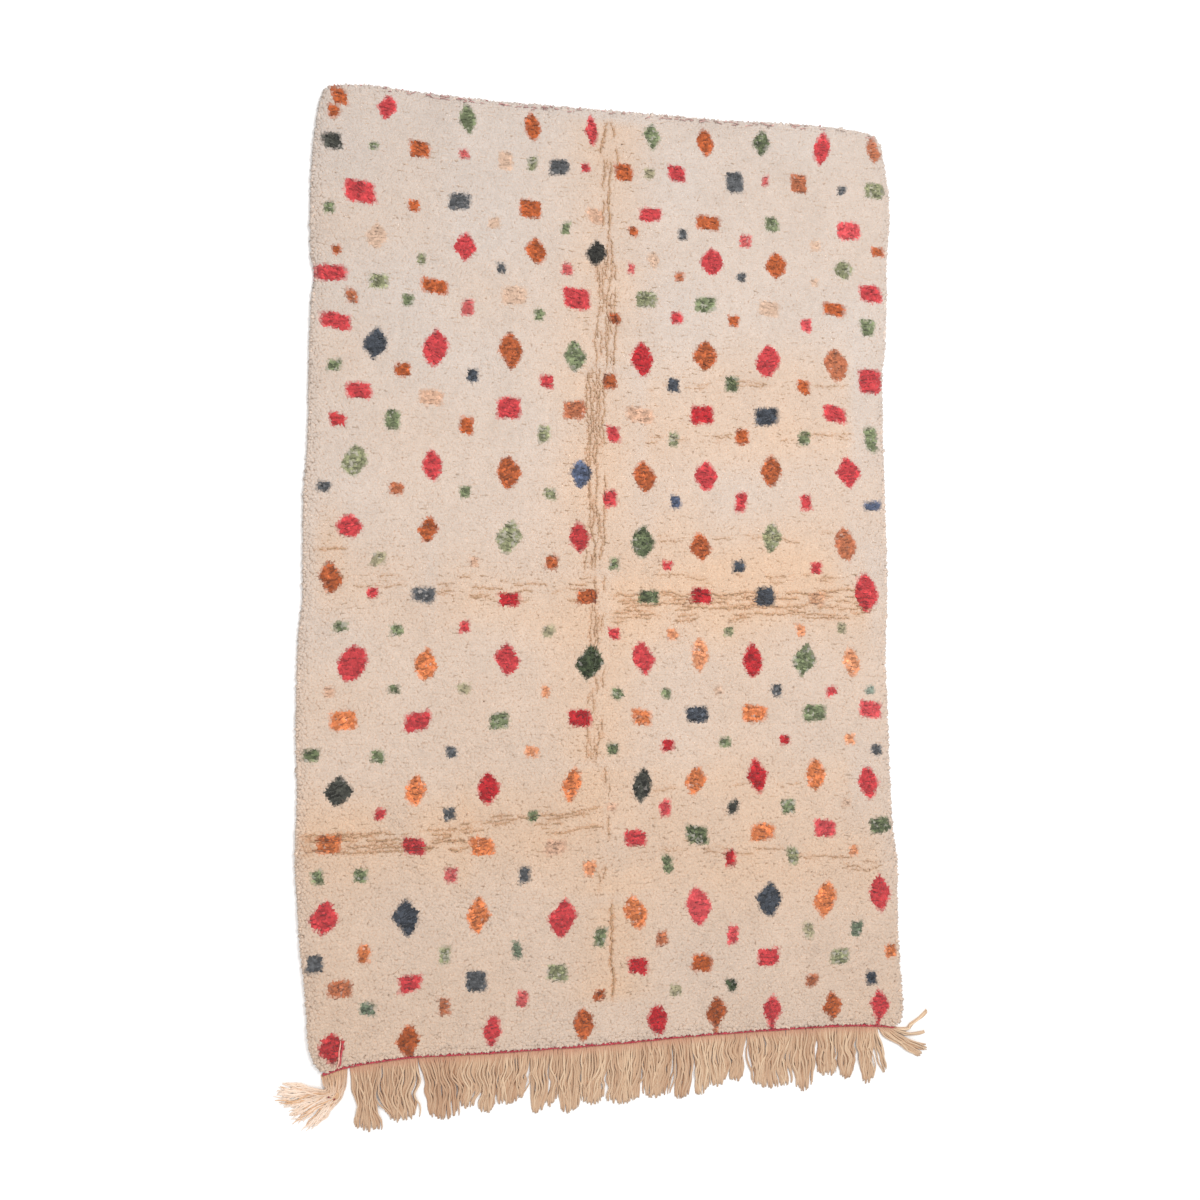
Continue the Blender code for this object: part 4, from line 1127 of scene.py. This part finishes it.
def tassel_yarn(share, rng):
    """One yarn of the tassel, from the cord down its neck, round the bend and out to its tip."""
    across = 2 * share - 1
    root_x = (-713 + share * 60) * MM
    root = (root_x, float(cord_line(root_x)) - 1 * MM, YARN_RADIUS)
    # Its place within the round neck: which way from the middle, and how far.
    around = rng.uniform(0, TAU)
    out = 5 * MM * rng.uniform(0.2, 1.0) ** 0.5
    throat = ((-682 + 22 * across + rng.normal(0, 3)) * MM, (-1243 - 4 * across) * MM,
              7 * MM + math.sin(around) * out)
    left, right = (np.array(point) * MM for point in TASSEL_BEND)
    bend = np.append(left + (right - left) * np.clip(share + rng.normal(0, 0.12), 0, 1),
                     8 * MM + math.cos(around) * out)
    # Its tip, near its place in the fan.
    place = np.clip(share + rng.normal(0, 0.16), 0, 1) * (len(TASSEL_TIPS) - 1)
    tips = np.array(TASSEL_TIPS) * MM
    end = np.array([np.interp(place, range(len(tips)), tips[:, k]) for k in range(2)])
    end = bend[:2] + (end - bend[:2]) * rng.uniform(0.84, 1.03)
    side = np.array((bend[1] - end[1], end[0] - bend[0]))
    near = np.append(bend[:2] + 0.35 * (end - bend[:2]), rng.uniform(4, 10) * MM)
    far = np.append(bend[:2] + 0.7 * (end - bend[:2]) + side * rng.normal(0, 0.04),
                    rng.uniform(2, 6) * MM)
    path = smooth_path(np.array([root, throat, bend, near, far, np.append(end, 2.5 * MM)]), 8)
    t = np.linspace(0, 1, len(path))
    crimp = rng.uniform(0.6, 2.4) * MM * np.sin(TAU * (rng.uniform() + rng.uniform(3, 6) * t))
    away = (end - bend[:2]) / np.linalg.norm(end - bend[:2])
    path[:, 0] -= away[1] * crimp * t
    path[:, 1] += away[0] * crimp * t
    return path


def build_tassel():
    """The corner's gathered yarns: a twisted neck bent to the left, and the ends fanned out."""
    rng = np.random.default_rng(22)
    yarns = YarnSet(sides=5, step=5 * MM)
    for k in range(TASSEL_YARNS):
        path = tassel_yarn((k + 0.5) / TASSEL_YARNS, rng)
        colour = mix(TASSEL_SHADE, TASSEL_CREAM, rng.uniform(0, 1))
        if rng.uniform() < 0.15:
            colour = TASSEL_ORANGE
        # Each yarn runs from the tan painted shade of the neck to its own colour.
        yarns.add(path, 1.7 * MM * rng.uniform(0.8, 1.3), colour, taper=0.3, root_share=0.7,
                  root_colour=TASSEL_NECK_SHADE * rng.uniform(0.75, 1.15), phase=rng.uniform(0, TAU))
    # Two small red ends where the tassel turns.
    for x, y in ((-697, -1270), (-684, -1276)):
        dot = np.array((x, y)) * MM
        path = [np.append(dot, 12 * MM), np.append(dot + 2 * MM, 14.5 * MM),
                np.append(dot + (4 * MM, 0), 12 * MM)]
        yarns.add(smooth_path(path, 4), 1.7 * MM, DARK_RED, taper=0.8)
    return yarns.build("corner_tassel_yarns", YARN_WOOL)


def smooth_path(knots, steps):
    """Points of a smooth curve through knots, in steps from one knot to the next."""
    knots = np.asarray(knots, float)
    padded = np.vstack([2 * knots[0] - knots[1], knots, 2 * knots[-1] - knots[-2]])
    t = np.linspace(0, 1, steps, endpoint=False)[:, None]
    parts = []
    for k in range(len(knots) - 1):
        a, b, c, d = padded[k:k + 4]
        parts.append(0.5 * (2 * b + (c - a) * t + (2 * a - 5 * b + 4 * c - d) * t**2
                            + (3 * b - a - 3 * c + d) * t**3))
    return np.vstack(parts + [knots[-1:]])


PLY_TURN = 15 * MM              # length of one turn of a red cord's two yarns
FLECKS = 100
# The two ends' red cords. Columns: name, colours, and in mm the yarns' radius and the height of the
# cord's middle, the spacing of the small loops over it, and how far out and up they reach.
FRINGE_END_TWINE = ("fringe_end_twine", (RED, DARK_RED), 2.6, 7.5, 11, -5.0, 10)
PLAIN_END_TWINE = ("plain_end_twine", (DULL_RED, MAUVE), 1.8, 4.5, 22, 6.0, 12)


def build_twine(line, twine):
    """A red cord of two yarns twined around each other along a line, with small loops over it."""
    name, (light, dark), radius, middle, spacing, loop_out, loop_rise = twine
    rng = np.random.default_rng(31 + len(name))
    yarns = YarnSet(sides=6, step=3.6 * MM, ply=0.12, twist=9 * MM)
    path, length = resample(np.column_stack([line, np.full(len(line), middle * MM)]), 2.5 * MM)
    reach = np.linspace(0, length, len(path))
    ahead = np.gradient(path, axis=0)
    side = np.cross(ahead, UP)
    side /= np.linalg.norm(side, axis=1)[:, None]
    wander = 0.8 * MM * smooth_noise(reach, 0 * reach, 20 * MM, 40)[:, None]
    for ply in range(2):
        angle = (TAU * reach / PLY_TURN + math.pi * ply)[:, None]
        offset = side * (np.cos(angle) * 0.75 * radius * MM + wander)
        offset = offset + UP * np.sin(angle) * 0.65 * radius * MM
        colour = light if ply else mix(light, dark, 0.25)
        yarns.add(path + offset, radius * MM, colour, taper=1.0, phase=ply)
    # Small loops over the cord, clear of its two ends.
    count = round(length / (spacing * MM))
    for k in range(count):
        at = int((k + rng.uniform(0.05, 0.95)) / count * (len(path) - 8)) + 3
        out = side[at] * loop_out * MM * rng.uniform(0.2, 1.0)
        along = ahead[at] / np.linalg.norm(ahead[at])
        width = rng.uniform(2.0, 4.5) * MM
        base = path[at]
        rise = UP * (loop_rise * MM * rng.uniform(0.5, 1.1))
        knots = [base - along * width, base - along * width * 0.6 + out * 0.7 + rise * 0.7,
                 base + out + rise, base + along * width * 0.6 + out * 0.7 + rise * 0.7,
                 base + along * width]
        yarns.add(smooth_path(knots, 4), 1.3 * MM, mix(dark, light, rng.uniform(0, 1)), taper=1.0)
    return yarns.build(name, RED_WOOL)


def build_end_flecks():
    """Short ends of mauve and red wool lying in the pile along the plain end."""
    rng = np.random.default_rng(42)
    yarns = YarnSet(sides=3, step=4 * MM, ply=0.0)
    for _ in range(FLECKS):
        middle = rng.uniform(-600, 735) * MM
        length = rng.uniform(7, 18) * MM
        t = np.linspace(-0.5, 0.5, 5)
        x = middle + length * t
        y = HIGH[0](x) - rng.uniform(3, 13) * MM + length * t * rng.normal(0, 0.25)
        z = 21.5 * MM - 3 * MM * (2 * t) ** 2
        dark = mix(MAUVE, FLECK_GREY, np.clip(0.5 + middle / 1.2, 0, 1))
        colour = mix(dark, FLECK_PINK, rng.uniform(0, 1))
        yarns.add(np.stack([x, y, z], axis=1), rng.uniform(0.9, 1.5) * MM, colour)
    return yarns.build("plain_end_flecks", RED_WOOL)


def build_stray_yarns():
    """Ends of red and cream yarn lying over the lozenge in the fringe end's left corner."""
    rng = np.random.default_rng(41)
    yarns = YarnSet(sides=6, step=4 * MM)
    # Columns: x of the end and of the root, y of both, in mm, and colour.
    ends = (
        (-665, -673, -1142, -1202, RED),
        (-670, -678, -1138, -1206, PALE_PINK),
    )
    for x_end, x_root, y_end, y_root, colour in ends:
        t = np.linspace(0, 1, 16)
        bow = 2.5 * MM * np.sin(math.pi * t) + 1.2 * MM * np.sin(TAU * (t * 1.6 + rng.uniform()))
        x = (x_root + (x_end - x_root) * t) * MM + bow
        y = (y_root + (y_end - y_root) * t) * MM
        z = np.where(t < 0.12, 8 * MM + (t / 0.12) * 15 * MM, 24.5 * MM)
        yarns.add(np.stack([x, y, z], axis=1), 1.7 * MM, colour)
    return yarns.build("stray_yarns", RED_WOOL)


# ================================================================ build everything
foundation = build_foundation()
pile = build_pile() + [build_painted_shade_strands()]
fringe = build_fringe()
tassel = build_tassel()

# The twined cords, close over the solids' rods. The plain end's runs back to the left.
cord_x = np.linspace(-709 * MM, 750 * MM, 160)
fringe_twine = build_twine(np.column_stack([cord_x, cord_line(cord_x) + 1.2 * MM]), FRINGE_END_TWINE)
top_x = np.linspace(730 * MM, -710 * MM, 160)
plain_twine = build_twine(np.column_stack([top_x, HIGH[0](top_x) - 2.2 * MM]), PLAIN_END_TWINE)
strays = build_stray_yarns()
flecks = build_end_flecks()

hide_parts("pile_slab")
for piece in pile:
    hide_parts("pile_slab")
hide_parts("fringe")
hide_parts("corner_tassel")
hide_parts("fringe_end_cord")
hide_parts("plain_end_cord")


# ================================================================ floor, light and camera
def build_stage():
    """A plain white floor, a broad soft light overhead and a key light from the upper right."""
    half = 6.0
    points = np.array([(-half, -half, 0), (half, -half, 0), (half, half, 0), (-half, half, 0)])
    mesh = bpy.data.meshes.new("floor")
    mesh.from_pydata([tuple(p) for p in points], [], [(0, 1, 2, 3)])
    material, _, _ = new_material("floor_white", {
        "Base Color": (0.97, 0.97, 0.97, 1), "Roughness": 0.9, "Specular IOR Level": 0.1,
    })
    mesh.materials.append(material)
    floor = bpy.data.objects.new("floor", mesh)
    bpy.context.scene.collection.objects.link(floor)

    world = bpy.data.worlds.new("studio")
    world.use_nodes = True
    sky = world.node_tree.nodes["Background"]
    sky.inputs["Color"].default_value = (1, 1, 1, 1)
    sky.inputs["Strength"].default_value = 0.72
    bpy.context.scene.world = world

    # Columns: name, place, size, power and warmth of each softbox, all aimed at the rug.
    lights = (
        ("key_softbox", (0.8, 0.9, 3.4), 1.6, 85, (1.0, 1.0, 1.0)),
        ("fill_softbox", (-2.4, -1.2, 3.6), 3.0, 30, (1.0, 1.0, 1.0)),
    )
    for name, place, size, power, colour in lights:
        lamp = bpy.data.lights.new(name, "AREA")
        lamp.shape = "DISK"
        lamp.size = size
        lamp.energy = power
        lamp.color = colour
        holder = bpy.data.objects.new(name, lamp)
        holder.location = place
        away = -np.array(place) / np.linalg.norm(place)
        holder.rotation_euler = (math.acos(-away[2]), 0, math.atan2(away[1], away[0]) - math.pi / 2)
        bpy.context.scene.collection.objects.link(holder)


def build_camera():
    """The photo's view: from above, a little to the rug's left and towards its fringe."""
    camera = bpy.data.cameras.new("camera")
    camera.sensor_fit = "HORIZONTAL"
    camera.sensor_width = 36
    camera.lens = 35.0
    camera.clip_end = 50
    holder = bpy.data.objects.new("camera", camera)
    holder.location = (-0.6577, -0.2716, 2.9032)
    holder.rotation_euler = (math.radians(3.59), math.radians(-12.13), math.radians(-0.25))
    bpy.context.scene.collection.objects.link(holder)
    bpy.context.scene.camera = holder


build_stage()
build_camera()
bpy.context.scene.view_settings.view_transform = "Standard"
